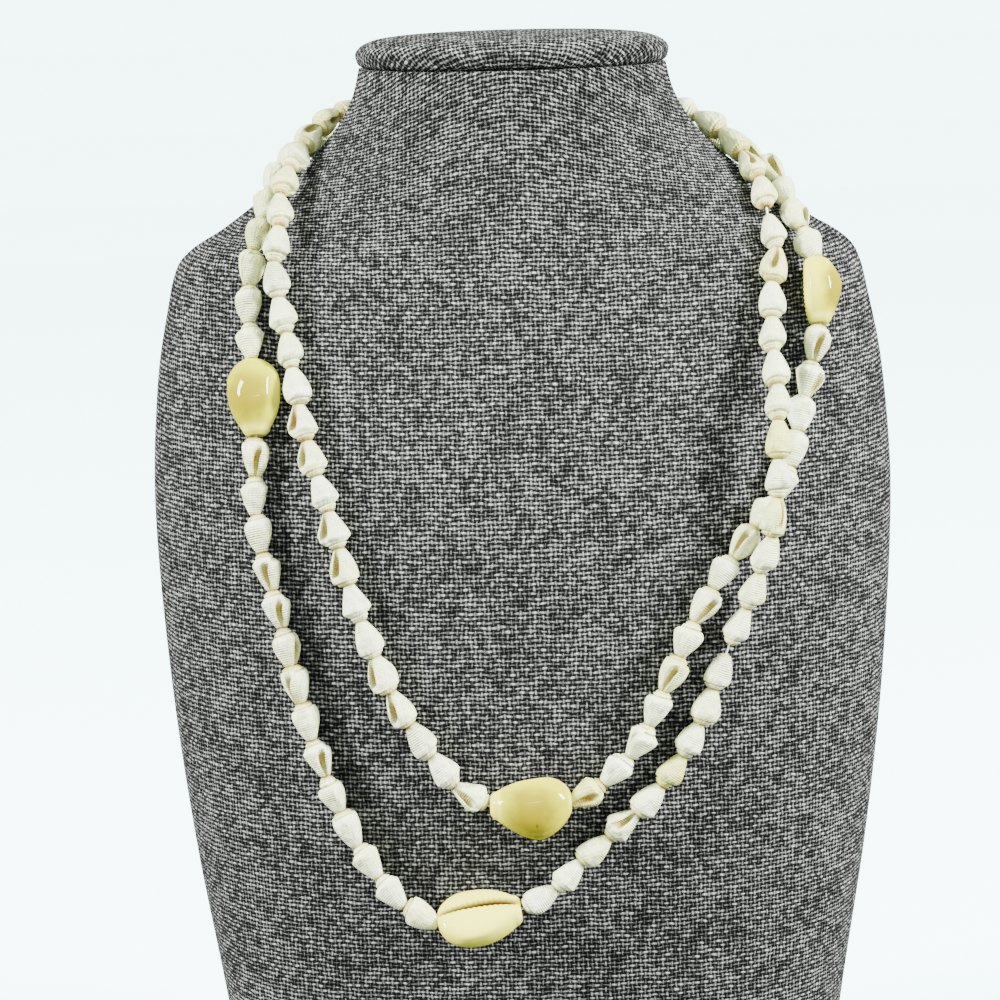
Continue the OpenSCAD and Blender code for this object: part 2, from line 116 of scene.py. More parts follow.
# Forms of the small shells. Columns: place of its last suture at the lip, share of the keeled outline,
# radius of its spire, depth of the steps between the spire's whorls, height of the ribs along it, depth
# of the grooves round it, flare of its lip
FORMS = {
    "smooth": (0.17, 0.00, 0.74, 0.10, 0.000, 0.35, 0.00),
    "keeled": (0.22, 1.00, 0.66, 0.16, 0.000, 0.45, 0.05),
    "stepped": (0.27, 0.45, 0.68, 0.30, 0.000, 0.50, 0.03),
    "ribbed": (0.22, 0.50, 0.68, 0.20, 0.030, 0.40, 0.03),
    "grooved": (0.20, 0.15, 0.72, 0.14, 0.000, 1.00, 0.02),
}

# Outlines of a small shell's last whorl. Columns: place from its suture to its tip, radius of a rounded
# shell, radius of a keeled one
BODY_OUTLINE = np.array([
    [0.00, 0.76, 0.66], [0.05, 0.90, 0.77], [0.11, 0.97, 0.92], [0.17, 1.00, 1.02], [0.24, 1.01, 1.02],
    [0.36, 0.99, 0.96], [0.50, 0.92, 0.86], [0.65, 0.80, 0.74], [0.80, 0.64, 0.59], [0.92, 0.49, 0.47],
    [1.00, 0.38, 0.38]])

# What each small shell in sight shows, in order from this number on its strand. Columns: turn of its
# mouth about the thread (0 away from the linen), form, share of cream in its white, warmth of its
# mouth
FIRST_SHOWN = 4
OUTER_FACES = [
    (150, "smooth", 0.3, 0.3), (180, "smooth", 0.1, 0.3), (160, "keeled", 0.4, 0.4),
    (190, "grooved", 0.5, 0.4), (5, "smooth", 0.4, 0.2), (175, "grooved", 0.2, 0.3),
    (140, "keeled", 0.3, 0.2), (-50, "smooth", 0.25, 0.5), (200, "keeled", 0.2, 0.4),
    (180, "grooved", 0.15, 0.4), (-30, "keeled", 0.2, 0.6), (-50, "keeled", 0.1, 0.4),
    (-110, "stepped", 0.3, 0.5), (0, "smooth", 0.2, 0.4), (180, "smooth", 0.2, 0.3),
    (-50, "keeled", 0.1, 0.4), (150, "stepped", 0.2, 0.4), (120, "smooth", 0.1, 0.4),
    (200, "keeled", 0.2, 0.3), (180, "keeled", 0.1, 0.3), (160, "smooth", 0.3, 0.4),
    (180, "grooved", 0.0, 0.3), (150, "keeled", 0.1, 0.3), (200, "smooth", 0.3, 0.3),
    (-40, "keeled", 0.2, 0.5), (150, "smooth", 0.2, 0.3), (180, "stepped", 0.9, 0.8),
    (180, "ribbed", 0.2, 0.3), (90, "smooth", 0.3, 0.3), (200, "grooved", 0.1, 0.3),
    (180, "keeled", 0.2, 0.3), (160, "stepped", 0.3, 0.8), (180, "ribbed", 0.2, 0.4),
    (0, "smooth", 0.5, 0.3), (190, "stepped", 0.2, 0.3), (170, "smooth", 0.8, 0.4),
    (180, "stepped", 0.3, 0.3), (200, "smooth", 0.2, 0.3), (180, "stepped", 0.2, 0.4),
    (160, "smooth", 0.1, 0.3), (-40, "smooth", 0.5, 0.4), (180, "stepped", 0.2, 0.3),
    (180, "stepped", 0.3, 0.8), (-50, "keeled", 0.4, 0.6), (150, "smooth", 0.5, 0.4),
    (100, "smooth", 0.4, 0.4)]
INNER_FACES = [
    (50, "smooth", 0.4, 0.4), (25, "smooth", 0.4, 0.4), (180, "keeled", 0.3, 0.3),
    (-45, "smooth", 0.3, 0.4), (160, "stepped", 0.2, 0.3), (0, "smooth", 0.3, 0.3),
    (-50, "keeled", 0.2, 0.4), (180, "smooth", 0.0, 0.3), (150, "smooth", 0.2, 0.3),
    (120, "keeled", 0.2, 0.3), (180, "stepped", 0.2, 0.4), (20, "smooth", 0.3, 0.5),
    (180, "grooved", 0.1, 0.3), (-30, "smooth", 0.2, 0.4), (170, "stepped", 0.2, 0.3),
    (0, "smooth", 0.4, 0.1), (190, "stepped", 0.1, 0.3), (45, "keeled", 0.1, 0.3),
    (150, "keeled", 0.0, 0.3), (-30, "keeled", 0.8, 1.0), (-30, "keeled", 0.2, 0.4),
    (160, "keeled", 0.1, 0.3), (180, "grooved", 0.1, 0.3), (-40, "smooth", 0.2, 0.3),
    (-60, "smooth", 0.2, 0.4), (170, "smooth", 0.1, 0.3), (180, "keeled", 0.0, 0.3),
    (-40, "smooth", 0.3, 0.6), (-50, "keeled", 0.1, 0.5), (180, "keeled", 0.0, 0.7),
    (-45, "ribbed", 0.3, 0.2), (-45, "keeled", 0.2, 0.9), (180, "smooth", 0.0, 0.4),
    (190, "stepped", 0.2, 0.9), (180, "keeled", 0.1, 0.3), (170, "grooved", 0.1, 0.3),
    (180, "stepped", 0.2, 0.6), (190, "stepped", 0.3, 0.9), (170, "stepped", 0.5, 1.0),
    (150, "keeled", 0.2, 0.4), (50, "smooth", 0.4, 0.3), (120, "smooth", 0.5, 0.4)]
# The same for the shells behind the neck, used in turn
HIDDEN_FACES = [(180, "smooth", 0.2, 0.3), (40, "keeled", 0.3, 0.5), (150, "stepped", 0.1, 0.4),
                (250, "grooved", 0.3, 0.3), (10, "smooth", 0.4, 0.6), (200, "ribbed", 0.2, 0.4)]

# Rings of a small shell from the pole in its spire's hole to the pole in its tip's hole. Columns: place
# along its length, radius (in half widths) where the hole gives it, or 0 where the shell's skin does
HOLE_ROWS = [(0.085, 0.10), (0.030, 0.15), (0.004, 0.22)]
TIP_ROWS = [(0.998, 0.24), (0.985, 0.16), (0.930, 0.12)]
SPIRE_ROWS, BODY_ROWS = 20, 9
SKIN_START, SPIRE_END, SKIN_END = 0.010, 0.33, 0.985

# Cross-section of a shell's mouth, from its inner wall down into it and out to the lip's edge.
# Columns: angle back from the lip in degrees, radius (in shell radii)
MOUTH_RING = np.array([
    [324, 0.865], [330, 0.845], [335, 0.800], [339, 0.720], [342, 0.610], [346, 0.490], [352, 0.410],
    [362, 0.330], [374, 0.370], [383, 0.500], [386, 0.630], [382, 0.760], [376, 0.870], [370, 0.950],
    [367, 1.010], [371, 1.060]])
# The rest of that ring: its columns, the angles it spans, and the angles where the mouth's hollow and
# the lip begin
BODY_COLUMNS = 36
BODY_FROM, BODY_TO = 20, 318
HOLLOW_FROM, LIP_FROM = 330, 362

# Growth of a shell: of the suture's height in a turn, and of the radius in a turn
SUTURE_GROWTH = 1.9
WHORL_GROWTH = 0.16
# How bluntly the spire rises, share of its form's steps that is cut, width and depth of the crease at
# the suture, lean of the mouth, and swell of the lip
SPIRE_POWER = 0.28
STEP_SHARE = 0.65
CREASE_WIDTH, CREASE_DEPTH = 0.020, 0.10
MOUTH_SLANT = 0.55
LIP_SWELL = 0.05
# Unevenness round a worn shell. Columns: depth, waves round it, twist of the waves along it
WEAR = [(0.028, 2, 4), (0.020, 3, 0), (0.014, 5, -9)]
# A fold across the last whorl (depth, width, twist), ribs round it, and knobs on the keel (depth,
# count, place below the suture, width)
FOLD_DEPTH, FOLD_WIDTH, FOLD_TWIST = 0.07, 0.38, 1.3
RIBS = 9
KNOB_DEPTH, KNOBS, KNOB_PLACE, KNOB_WIDTH = 0.035, 8, 0.16, 0.07
# Greatest lean of a shell off its thread, and greatest extra length
LEAN = 0.055
EXTRA_LENGTH = 0.0003

# Outline of a cowrie from its broad to its narrow end. Columns: place along its length, share of half
# its width, of its height above the thread, of its depth below the thread
COWRIE_OUTLINE = np.array([
    [0.00, 0.30, 0.36, 0.62], [0.04, 0.52, 0.56, 0.84], [0.11, 0.74, 0.72, 0.92],
    [0.20, 0.89, 0.86, 0.98], [0.32, 0.98, 0.96, 1.00], [0.43, 1.00, 1.00, 1.00],
    [0.58, 0.95, 0.98, 1.00], [0.72, 0.82, 0.88, 1.00], [0.84, 0.64, 0.73, 0.95],
    [0.91, 0.51, 0.60, 0.88], [0.96, 0.45, 0.52, 0.82], [1.00, 0.33, 0.38, 0.62]])
# Rings of a cowrie's funnel from its pole outwards. Columns: place along its length, share of the radius
COWRIE_FUNNEL = np.array([(0.080, 0.20), (0.040, 0.34), (0.010, 0.52), (-0.004, 0.76)])
COWRIE_ROWS = COWRIE_COLUMNS = 104
# Powers that square or round its section on the mouth side, on the back and sideways
MOUTH_ROUND, BACK_ROUND, WIDTH_ROUND = 0.62, 0.95, 0.9
# How closely its columns lie on the mouth side, teeth along the slit, their height, depth of the slit
# in its widths, and how far to the side the slit bends (in cowrie widths)
CROWDING = 0.62
TEETH, TOOTH_HEIGHT = 15.5, 0.00025
SLIT_DEPTH, SLIT_BEND = 1.9, 0.07
# The rolled margin and the crease inside it: angle from the back, spread, height
MARGIN_FORMS = [(98, 16, 0.00035), (68, 10, -0.00012)]

# The cowries. Columns: piece, the part's node, strand, its stop there, turn about the thread in degrees,
# shift of the middle sideways, bumps of the margin (place, angle, height, length, spread), speck
# (place, angle, strength), material
COWRIES = [
    ("cowrie_shell_left", "cowrie_left", "outer", 0, 0, 0.0,
     [(0.22, 80, 0.0005, 0.12, 22), (0.24, -80, 0.0005, 0.12, 22)], (0.5, 0, 0), "cowrie_gold"),
    ("cowrie_shell_low", "cowrie_low", "outer", 1, 118, 0.0,
     [(0.25, 85, 0.0005, 0.12, 22), (0.25, -85, 0.0004, 0.12, 22)], (0.5, 0, 0), "cowrie_cream"),
    ("cowrie_shell_centre", "cowrie_centre", "inner", 1, 0, -0.0013,
     [(0.40, -88, 0.0011, 0.22, 42), (0.25, 85, 0.0004, 0.12, 22)], (0.44, -22, 1.0), "cowrie_gold"),
    ("cowrie_shell_right", "cowrie_right", "inner", 0, -50, 0.0,
     [(0.40, 0, 0.0010, 0.20, 30), (0.12, -60, 0.0006, 0.10, 25)], (0.5, 0, 0), "cowrie_pale")]

# The clasp: height of its middle (of the bust's), how deep a thread sits in it, bare thread before its
# mouth, and what its two bores stand apart beyond a thread's thickness
CLASP_HEIGHT = 0.943
CLASP_SEAT, CLASP_SPARE = 0.003, 0.0004
BORE_APART = 0.001

# Grooves from a small shell's spire to its tip, and growth lines round it (in radians)
GROOVES, GROWTH_LINES = 17.0, 150.0

# The weave. Threads across to one of the map, stray of a thread (in threads) and its scale, step of
# the tone from thread to thread, its run along one and its shares for each crossing and in patches,
# then widths, swings and painted brightness of the threads that go up and of those that go round:
# painted shade on the threads that go up, a painted highlight on those that go round
WARP_COUNT = 1.05
STRAY, STRAY_SCALE = 0.9, 0.33
TONE_STEP, TONE_RUN, OWN_TONE, PATCH_TONE = 3.71, 0.42, 0.34, 0.42
WARP_WIDTHS, WEFT_WIDTHS = (0.19, 0.31), (0.20, 0.33)
WARP_SWING, WEFT_SWING = 0.42, 0.34
WARP_PAINTED_SHADE, WEFT_PAINTED_HIGHLIGHT = 0.84, 1.08

# How finely the other pieces are cut, round of the bust's foot, and the cap's ring at its rim
BUST_COLUMNS, BUST_RINGS = 288, 190
CAP_COLUMNS, CAP_RINGS = 240, 60
THREAD_COLUMNS, STEPS_A_TWIST = 10, 5
SWEEP_COLUMNS = 64
FOOT_ROUND = 0.0025
CAP_RIM = 15


def size(name, description, default):
    """A length that a user may change."""
    return FloatProperty(name=name, description=description, default=default, unit="LENGTH")


def level(name, description, default):
    """A power, a brightness or another plain number that a user may change."""
    return FloatProperty(name=name, description=description, default=default)


def slope(name, description, degrees):
    """An angle that a user may change."""
    return FloatProperty(name=name, description=description, default=np.radians(degrees),
                         subtype="ANGLE")


def tint(name, description, default):
    """A colour that a user may change."""
    return FloatVectorProperty(name=name, description=description, default=default,
                               subtype="COLOR", size=3)


class BustSettings(bpy.types.PropertyGroup):
    """Sizes and colours of the bust and its cap."""
    height: size("Height", "Height of the covered form without its cap", BUST_HIGH.z - BUST_LOW.z)
    width: size("Width", "Greatest width across the chest", BUST_HIGH.x - BUST_LOW.x)
    neck_width: size("Neck width", "Width of the neck at its top", 0.091)
    neck_depth: size("Neck depth", "Depth of the neck at its top", 0.058)
    front: size("Front", "How far the chest stands in front of the neck's middle", 0.070)
    back: size("Back", "How far the foot stands behind the neck's middle", 0.044)
    cap_height: size("Cap", "Thickness of the padded cap", 0.010)
    cap_lip: size("Cap lip", "How far the cap stands out past the neck", 0.0008)
    cap_tuck: size("Cap tuck", "How far the cap's underside is drawn in", 0.0022)
    pitch: size("Thread pitch", "Distance between two threads of the linen", 0.00136)
    light: tint("Light thread", "Colour of the light linen threads", (0.38, 0.39, 0.37))
    dark: tint("Dark thread", "Colour of the dark linen threads", (0.0022, 0.0022, 0.0024))


class ShellSettings(bpy.types.PropertyGroup):
    """Sizes and colours of the small shells."""
    length: size("Length", "Length of a small shell", 0.0103)
    width: size("Width", "Width of the widest small shell", 0.0082)
    gap: size("Gap", "Length of thread between two shells' solids", 0.0007)
    rest_gap: size("Rest gap", "Clear space between the shells and the linen", 0.0005)
    nest: size("Nest", "How far a shell's tip sits in the hole of the next", 0.0007)
    white: tint("White", "Colour of the white shell", (0.78, 0.85, 0.60))
    # Cream is also the painted shade of the suture's crease and of the shell's ends
    cream: tint("Cream", "Colour of the cream shell", (0.58, 0.61, 0.17))
    worn: tint("Worn", "Colour where the shell is worn", (0.34, 0.37, 0.13))
    # Tan is also the painted shade in the grooves' troughs and along the suture's crease
    tan: tint("Mouth", "Colour inside a pale mouth", (0.36, 0.31, 0.07))
    orange: tint("Warm mouth", "Colour inside a warm mouth and spire", (0.34, 0.17, 0.015))


class CowrieSettings(bpy.types.PropertyGroup):
    """Sizes and colours of the cowries."""
    length: size("Length", "Length of the middle cowrie", 0.0234)
    width: size("Width", "Width of the middle cowrie", 0.016)
    height: size("Height", "Height of the middle cowrie", 0.0114)
    slit: size("Slit", "Width of a cowrie's slit", 0.0012)
    gold: tint("Gold", "Colour of the back's middle", (0.225, 0.192, 0.0006))
    lemon: tint("Lemon", "Colour of the back towards its margin", (0.42, 0.41, 0.002))
    ivory: tint("Ivory", "Colour of the margin and the mouth side", (0.67, 0.645, 0.08))
    pale: tint("Pale", "Colour round the middle of the right cowrie", (0.54, 0.52, 0.006))
    cream: tint("Cream", "Colour of the lowest cowrie's mouth side", (0.64, 0.63, 0.055))
    # The slit brown is partly the shell's own colour and partly painted shade in the deep slit
    brown: tint("Slit brown", "Colour deep in the slit", (0.06, 0.018, 0.003))


class ThreadSettings(bpy.types.PropertyGroup):
    """Sizes and colours of the threads and the clasp."""
    thickness: size("Thickness", "Thickness of the thread", 0.0007)
    bare: size("Bare", "Length of bare thread where a strand shows a gap", 0.0032)
    tail: size("Tail", "Length of bare thread beside the clasp", 0.013)
    twist: size("Twist", "Length of one turn of the two plies", 0.0024)
    colour: tint("Thread", "Colour of the thread", (0.82, 0.82, 0.78))
    shade: tint("Thread shade", "Colour between the thread's fibres", (0.52, 0.52, 0.48))
    clasp_length: size("Clasp length", "Length of the barrel clasp", 0.014)
    clasp_width: size("Clasp width", "Thickness of the barrel clasp", 0.005)
    metal: tint("Metal", "Colour of the clasp", (0.66, 0.50, 0.26))
    tarnish: tint("Tarnish", "Colour of the clasp's dull places", (0.42, 0.30, 0.14))


class StageSettings(bpy.types.PropertyGroup):
    """Sweep, light and camera, which aren't part of the object."""
    sweep: size("Sweep", "Radius of the pale sweep", 3.5)
    paper: tint("Paper", "Colour of the sweep", (0.52, 0.98, 1.0))
    glow: level("Glow", "Brightness of the sweep to the camera", 5.5)
    light_above: level("Light above", "Brightness of the sky", 2.6)
    light_below: level("Light below", "Brightness from below", 0.65)
    lamp_left: level("Left lamp", "Power of the left window", 250.0)
    lamp_right: level("Right lamp", "Power of the right window", 290.0)
    lamp_strip: level("Strip lamp", "Power of the strip above the camera", 6.0)
    distance: size("Camera distance", "From the camera to its target", 1.0)
    elevation: slope("Camera height", "Angle of the camera above the horizon", 11.0)
    roll: slope("Camera roll", "Turn of the camera about its own line of sight", 1.5)
    lens: level("Lens", "Focal length in millimetres on a 36 mm sensor", 118.8)
    target: FloatVectorProperty(name="Target", description="Point that the camera looks at",
                                default=(-0.00694, 0.0, 0.1992), subtype="XYZ", size=3)


def settings(name):
    """One of the scene's groups of settings."""
    return getattr(bpy.context.scene, "necklace_" + name)


def ease(a, b, slope_a, slope_b, u):
    """Cubic blend of two values with given slopes: Hermite's formula."""
    return ((2 * u**3 - 3 * u**2 + 1) * a + (u**3 - 2 * u**2 + u) * slope_a
            + (3 * u**2 - 2 * u**3) * b + (u**3 - u**2) * slope_b)


def step(low, high, value):
    """Smooth rise from 0 below low to 1 above high."""
    u = np.clip((value - low) / (high - low), 0, 1)
    return u * u * (3 - 2 * u)


def bell(value, width):
    """Bump of height 1 at 0 that falls off by Gauss's curve."""
    return np.exp(-(value / width) ** 2)


def around(angle):
    """An angle in radians, brought to within half a turn of 0."""
    return np.angle(np.exp(1j * angle))


def oval(value, power):
    """A sine or cosine raised to a power with its sign kept, which squares or rounds an oval."""
    return np.sign(value) * np.abs(value) ** power


def unit(vectors):
    """Vectors brought to length 1."""
    return vectors / np.linalg.norm(vectors, axis=-1, keepdims=True)


def joined(*parts):
    """Arrays brought to one shape and set side by side as the last axis."""
    return np.stack(np.broadcast_arrays(*parts), -1)


def run_along(points, axis=0):
    """Length run along rows of points, from 0 at the first."""
    lengths = np.cumsum(np.linalg.norm(np.diff(points, axis=axis), axis=-1), axis=axis)
    return np.concatenate([0 * np.take(lengths, [0], axis), lengths], axis)


def smooth_table(table, place):
    """Columns of a table at any place along its first column: cubic between rows, each row's slope
    taken from its two neighbours."""
    keys = table[:, 0]
    i = np.clip(np.searchsorted(keys, place, side="right") - 1, 0, len(keys) - 2)
    before = np.maximum(i - 1, 0)
    after = np.minimum(i + 2, len(keys) - 1)
    span = keys[i + 1] - keys[i]
    u = (place - keys[i]) / span
    columns = []
    for value in table.T[1:]:
        slope_a = (value[i + 1] - value[before]) / (keys[i + 1] - keys[before])
        slope_b = (value[after] - value[i]) / (keys[after] - keys[i])
        columns.append(ease(value[i], value[i + 1], span * slope_a, span * slope_b, u))
    return columns


def skin(angle, share):
    """Point of the bust's skin: a squared oval at each height, its half width, front and back blended
    between the neck's and the greatest by the section table."""
    s = settings("bust")
    width, front, back, side, square = smooth_table(SECTIONS, np.clip(share, 0, 1))
    half = (s.neck_width + width * (s.width - s.neck_width)) / 2
    front = s.neck_depth / 2 + front * (s.front - s.neck_depth / 2)
    back = s.neck_depth / 2 + back * (s.back - s.neck_depth / 2)
    side = side * s.front
    c, n = np.cos(np.radians(angle)), np.sin(np.radians(angle))
    depth = np.where(n < 0, front + side, back - side)
    return np.stack([half * oval(c, 2 / square), side + depth * oval(n, 2 / square),
                     share * s.height], -1)


def outward(angle, share):
    """Outward direction of the skin, from two short steps on it."""
    turn, climb = 0.5, 0.0015
    return unit(np.cross(skin(angle + turn, share) - skin(angle - turn, share),
                         skin(angle, share + climb) - skin(angle, share - climb)))


def strand(route):
    """Centre line of a strand: the route's rows blended smoothly, laid on the skin and lifted by half a
    shell. Gives its points, the skin's outward directions and the length run at each."""
    s = settings("shell")
    rows = np.array(route, float)
    last = len(rows) - 1
    before, after = np.maximum(np.arange(last) - 1, 0), np.minimum(np.arange(last) + 2, last)
    u = (np.arange(ROUTE_STEPS) / ROUTE_STEPS)[None, :, None]
    a, b = rows[:-1, None], rows[1:, None]
    fine = ease(a, b, (b - rows[before, None]) / 2, (rows[after, None] - a) / 2, u).reshape(-1, 3)
    fine = np.vstack([fine, rows[-1:]])
    normals = outward(fine[:, 0], fine[:, 1])
    lift = s.width / 2 + s.rest_gap + fine[:, 2:] * s.width
    points = skin(fine[:, 0], fine[:, 1]) + normals * lift
    return points, normals, run_along(points)


def along(values, run, d):
    """Values of a strand at running lengths d, straight between its points."""
    return np.stack([np.interp(d, run, column) for column in values.T], -1)


def stop_spans(run, stops):
    """Start and end of each stop along a strand, with the bare tails at both ends."""
    shell, thread, cowrie = settings("shell"), settings("thread"), settings("cowrie")
    spans = [(0.0, thread.tail)]
    for row, kind, share in stops:
        middle = run[row * ROUTE_STEPS]
        half = (share * cowrie.length + shell.gap if kind == "cowrie" else share * thread.bare) / 2
        spans.append((middle - half, middle + half))
    spans.append((run[-1] - thread.tail, run[-1]))
    return spans


def shell_spans(spans):
    """Start and end of every small shell: each stretch between two stops is shared out evenly."""
    s = settings("shell")
    found = []
    for (_, start), (end, _) in zip(spans[:-1], spans[1:]):
        count = round((end - start) / (s.length + s.gap))
        edges = np.linspace(start, end, count + 1)
        found += list(zip(edges[:-1], edges[1:]))
    return np.array(found)


def frames(line, spans):
    """Start point, axes (away from the linen, sideways, along the thread) and length of each span."""
    points, normals, run = line
    a, b = along(points, run, spans[:, 0]), along(points, run, spans[:, 1])
    ahead = unit(b - a)
    side = unit(np.cross(ahead, along(normals, run, spans.mean(1))))
    return a, np.stack([np.cross(side, ahead), side, ahead], 1), np.linalg.norm(b - a, axis=1)


def put_in_scene(name, data):
    """New object with its mesh, lamp or camera, linked to the scene."""
    made = bpy.data.objects.new(name, data)
    bpy.context.scene.collection.objects.link(made)
    return made


def add_piece(name, grids, node, material, uv=None, marks=None):
    """Mesh of one or more closed tubes. grids is (tubes, rings, columns, 3), its columns turning
    anticlockwise about the way that the rings run. Four corners to a face, and a flat face on each end
    ring. uv has one more column than grids, and marks hold four values to a point."""
    tubes, rings, columns = grids.shape[:3]
    t, i, j = np.meshgrid(np.arange(tubes), np.arange(rings - 1), np.arange(columns), indexing="ij")
    next_i, next_j = i + 1, (j + 1) % columns
    start = t * rings * columns
    quads = np.stack([start + i * columns + j, start + i * columns + next_j,
                      start + next_i * columns + next_j, start + next_i * columns + j], -1)
    start = np.arange(tubes)[:, None] * rings * columns
    first = start + np.arange(columns)[::-1]
    last = start + (rings - 1) * columns + np.arange(columns)
    loops = np.concatenate([quads.ravel(), first.ravel(), last.ravel()])
    sizes = np.concatenate([np.full(quads.size // 4, 4), np.full(2 * tubes, columns)])
    starts = np.concatenate([[0], np.cumsum(sizes)[:-1]])
    mesh = bpy.data.meshes.new(name)
    mesh.vertices.add(tubes * rings * columns)
    mesh.loops.add(len(loops))
    mesh.polygons.add(len(sizes))
    for holder, key, values, kind in (
            (mesh.vertices, "co", grids, np.float32), (mesh.loops, "vertex_index", loops, np.int32),
            (mesh.polygons, "loop_start", starts, np.int32),
            (mesh.polygons, "loop_total", sizes, np.int32),
            (mesh.polygons, "use_smooth", np.ones(len(sizes)), bool)):
        holder.foreach_set(key, np.asarray(values).astype(kind).ravel())
    mesh.update(calc_edges=True)
    mesh.validate()
    if uv is not None:
        on_quads = np.stack([uv[t, i, j], uv[t, i, j + 1], uv[t, next_i, j + 1], uv[t, next_i, j]], 3)
        on_ends = [uv[:, 0, :columns][:, ::-1], uv[:, rings - 1, :columns]]
        flat = np.concatenate([part.reshape(-1, 2) for part in [on_quads] + on_ends])
        mesh.uv_layers.new(name="cloth").data.foreach_set("uv", flat.astype(np.float32).ravel())
    if marks is not None:
        layer = mesh.attributes.new("marks", "FLOAT_COLOR", "POINT")
        layer.data.foreach_set("color", marks.astype(np.float32).ravel())
    mesh.materials.append(material)
    piece = put_in_scene(name, mesh)
    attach(piece, "root")
    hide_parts(node)
    return piece


class Wires:
    """Short way to lay out a material's nodes. A value is a number, a colour or a node's output."""

    def __init__(self, name):
        self.material = bpy.data.materials.new(name)
        self.material.use_nodes = True
        self.tree = self.material.node_tree
        self.shader = self.tree.nodes["Principled BSDF"]

    def node(self, kind, values=(), out=0, **options):
        made = self.tree.nodes.new(kind)
        for key, value in options.items():
            setattr(made, key, value)
        for key, value in dict(values).items():
            self.put(made, key, value)
        return made.outputs[out]

    def put(self, made, key, value):
        socket = made.inputs[key]
        if isinstance(value, bpy.types.NodeSocket):
            self.tree.links.new(value, socket)
        elif np.ndim(value) == 1:
            value = tuple(value)
            socket.default_value = value + (1.0,) * (len(socket.default_value) - len(value))
        else:
            socket.default_value = value

    def math(self, operation, *values):
        return self.node("ShaderNodeMath", enumerate(values), operation=operation)

    def plus(self, a, b):
        return self.math("ADD", a, b)

    def minus(self, a, b):
        return self.math("SUBTRACT", a, b)

    def times(self, a, b):
        return self.math("MULTIPLY", a, b)

    def sway(self, value, reach, onto):
        """A noise about a half, centred on 0, scaled and added to another value."""
        return self.math("MULTIPLY_ADD", self.minus(value, 0.5), reach, onto)

    def mix(self, share, a, b):
        return self.node("ShaderNodeMix", {0: share, 6: a, 7: b}, out=2, data_type="RGBA")

    def choose(self, share, a, b):
        return self.node("ShaderNodeMix", {0: share, 2: a, 3: b}, data_type="FLOAT")

    def noise(self, place, scale, detail=2.0, rough=0.5, out=0):
        return self.node("ShaderNodeTexNoise", {"Vector": place, "Scale": scale, "Detail": detail,
                                                "Roughness": rough}, out)

    def rise(self, value, low, high, bottom=0.0, top=1.0):
        return self.node("ShaderNodeMapRange", {0: value, 1: low, 2: high, 3: bottom, 4: top},
                         interpolation_type="SMOOTHSTEP")

    def place(self, x, y, z=0.0):
        return self.node("ShaderNodeCombineXYZ", enumerate((x, y, z)))

    def parts(self, vector):
        return self.node("ShaderNodeSeparateXYZ", {0: vector}, slice(3))

    def attribute(self, name):
        colour, _, _, alpha = self.node("ShaderNodeAttribute", out=slice(4), attribute_name=name)
        return *self.node("ShaderNodeSeparateColor", {0: colour}, slice(3)), alpha

    def coordinates(self, kind):
        return self.node("ShaderNodeTexCoord", out=kind)

    def bump(self, height, strength, distance, below=None):
        values = {"Height": height, "Strength": strength, "Distance": distance}
        if below is not None:
            values["Normal"] = below
        return self.node("ShaderNodeBump", values)

    def finish(self, **sockets):
        for key, value in sockets.items():
            self.put(self.shader, key.replace("_", " "), value)
        return self.material


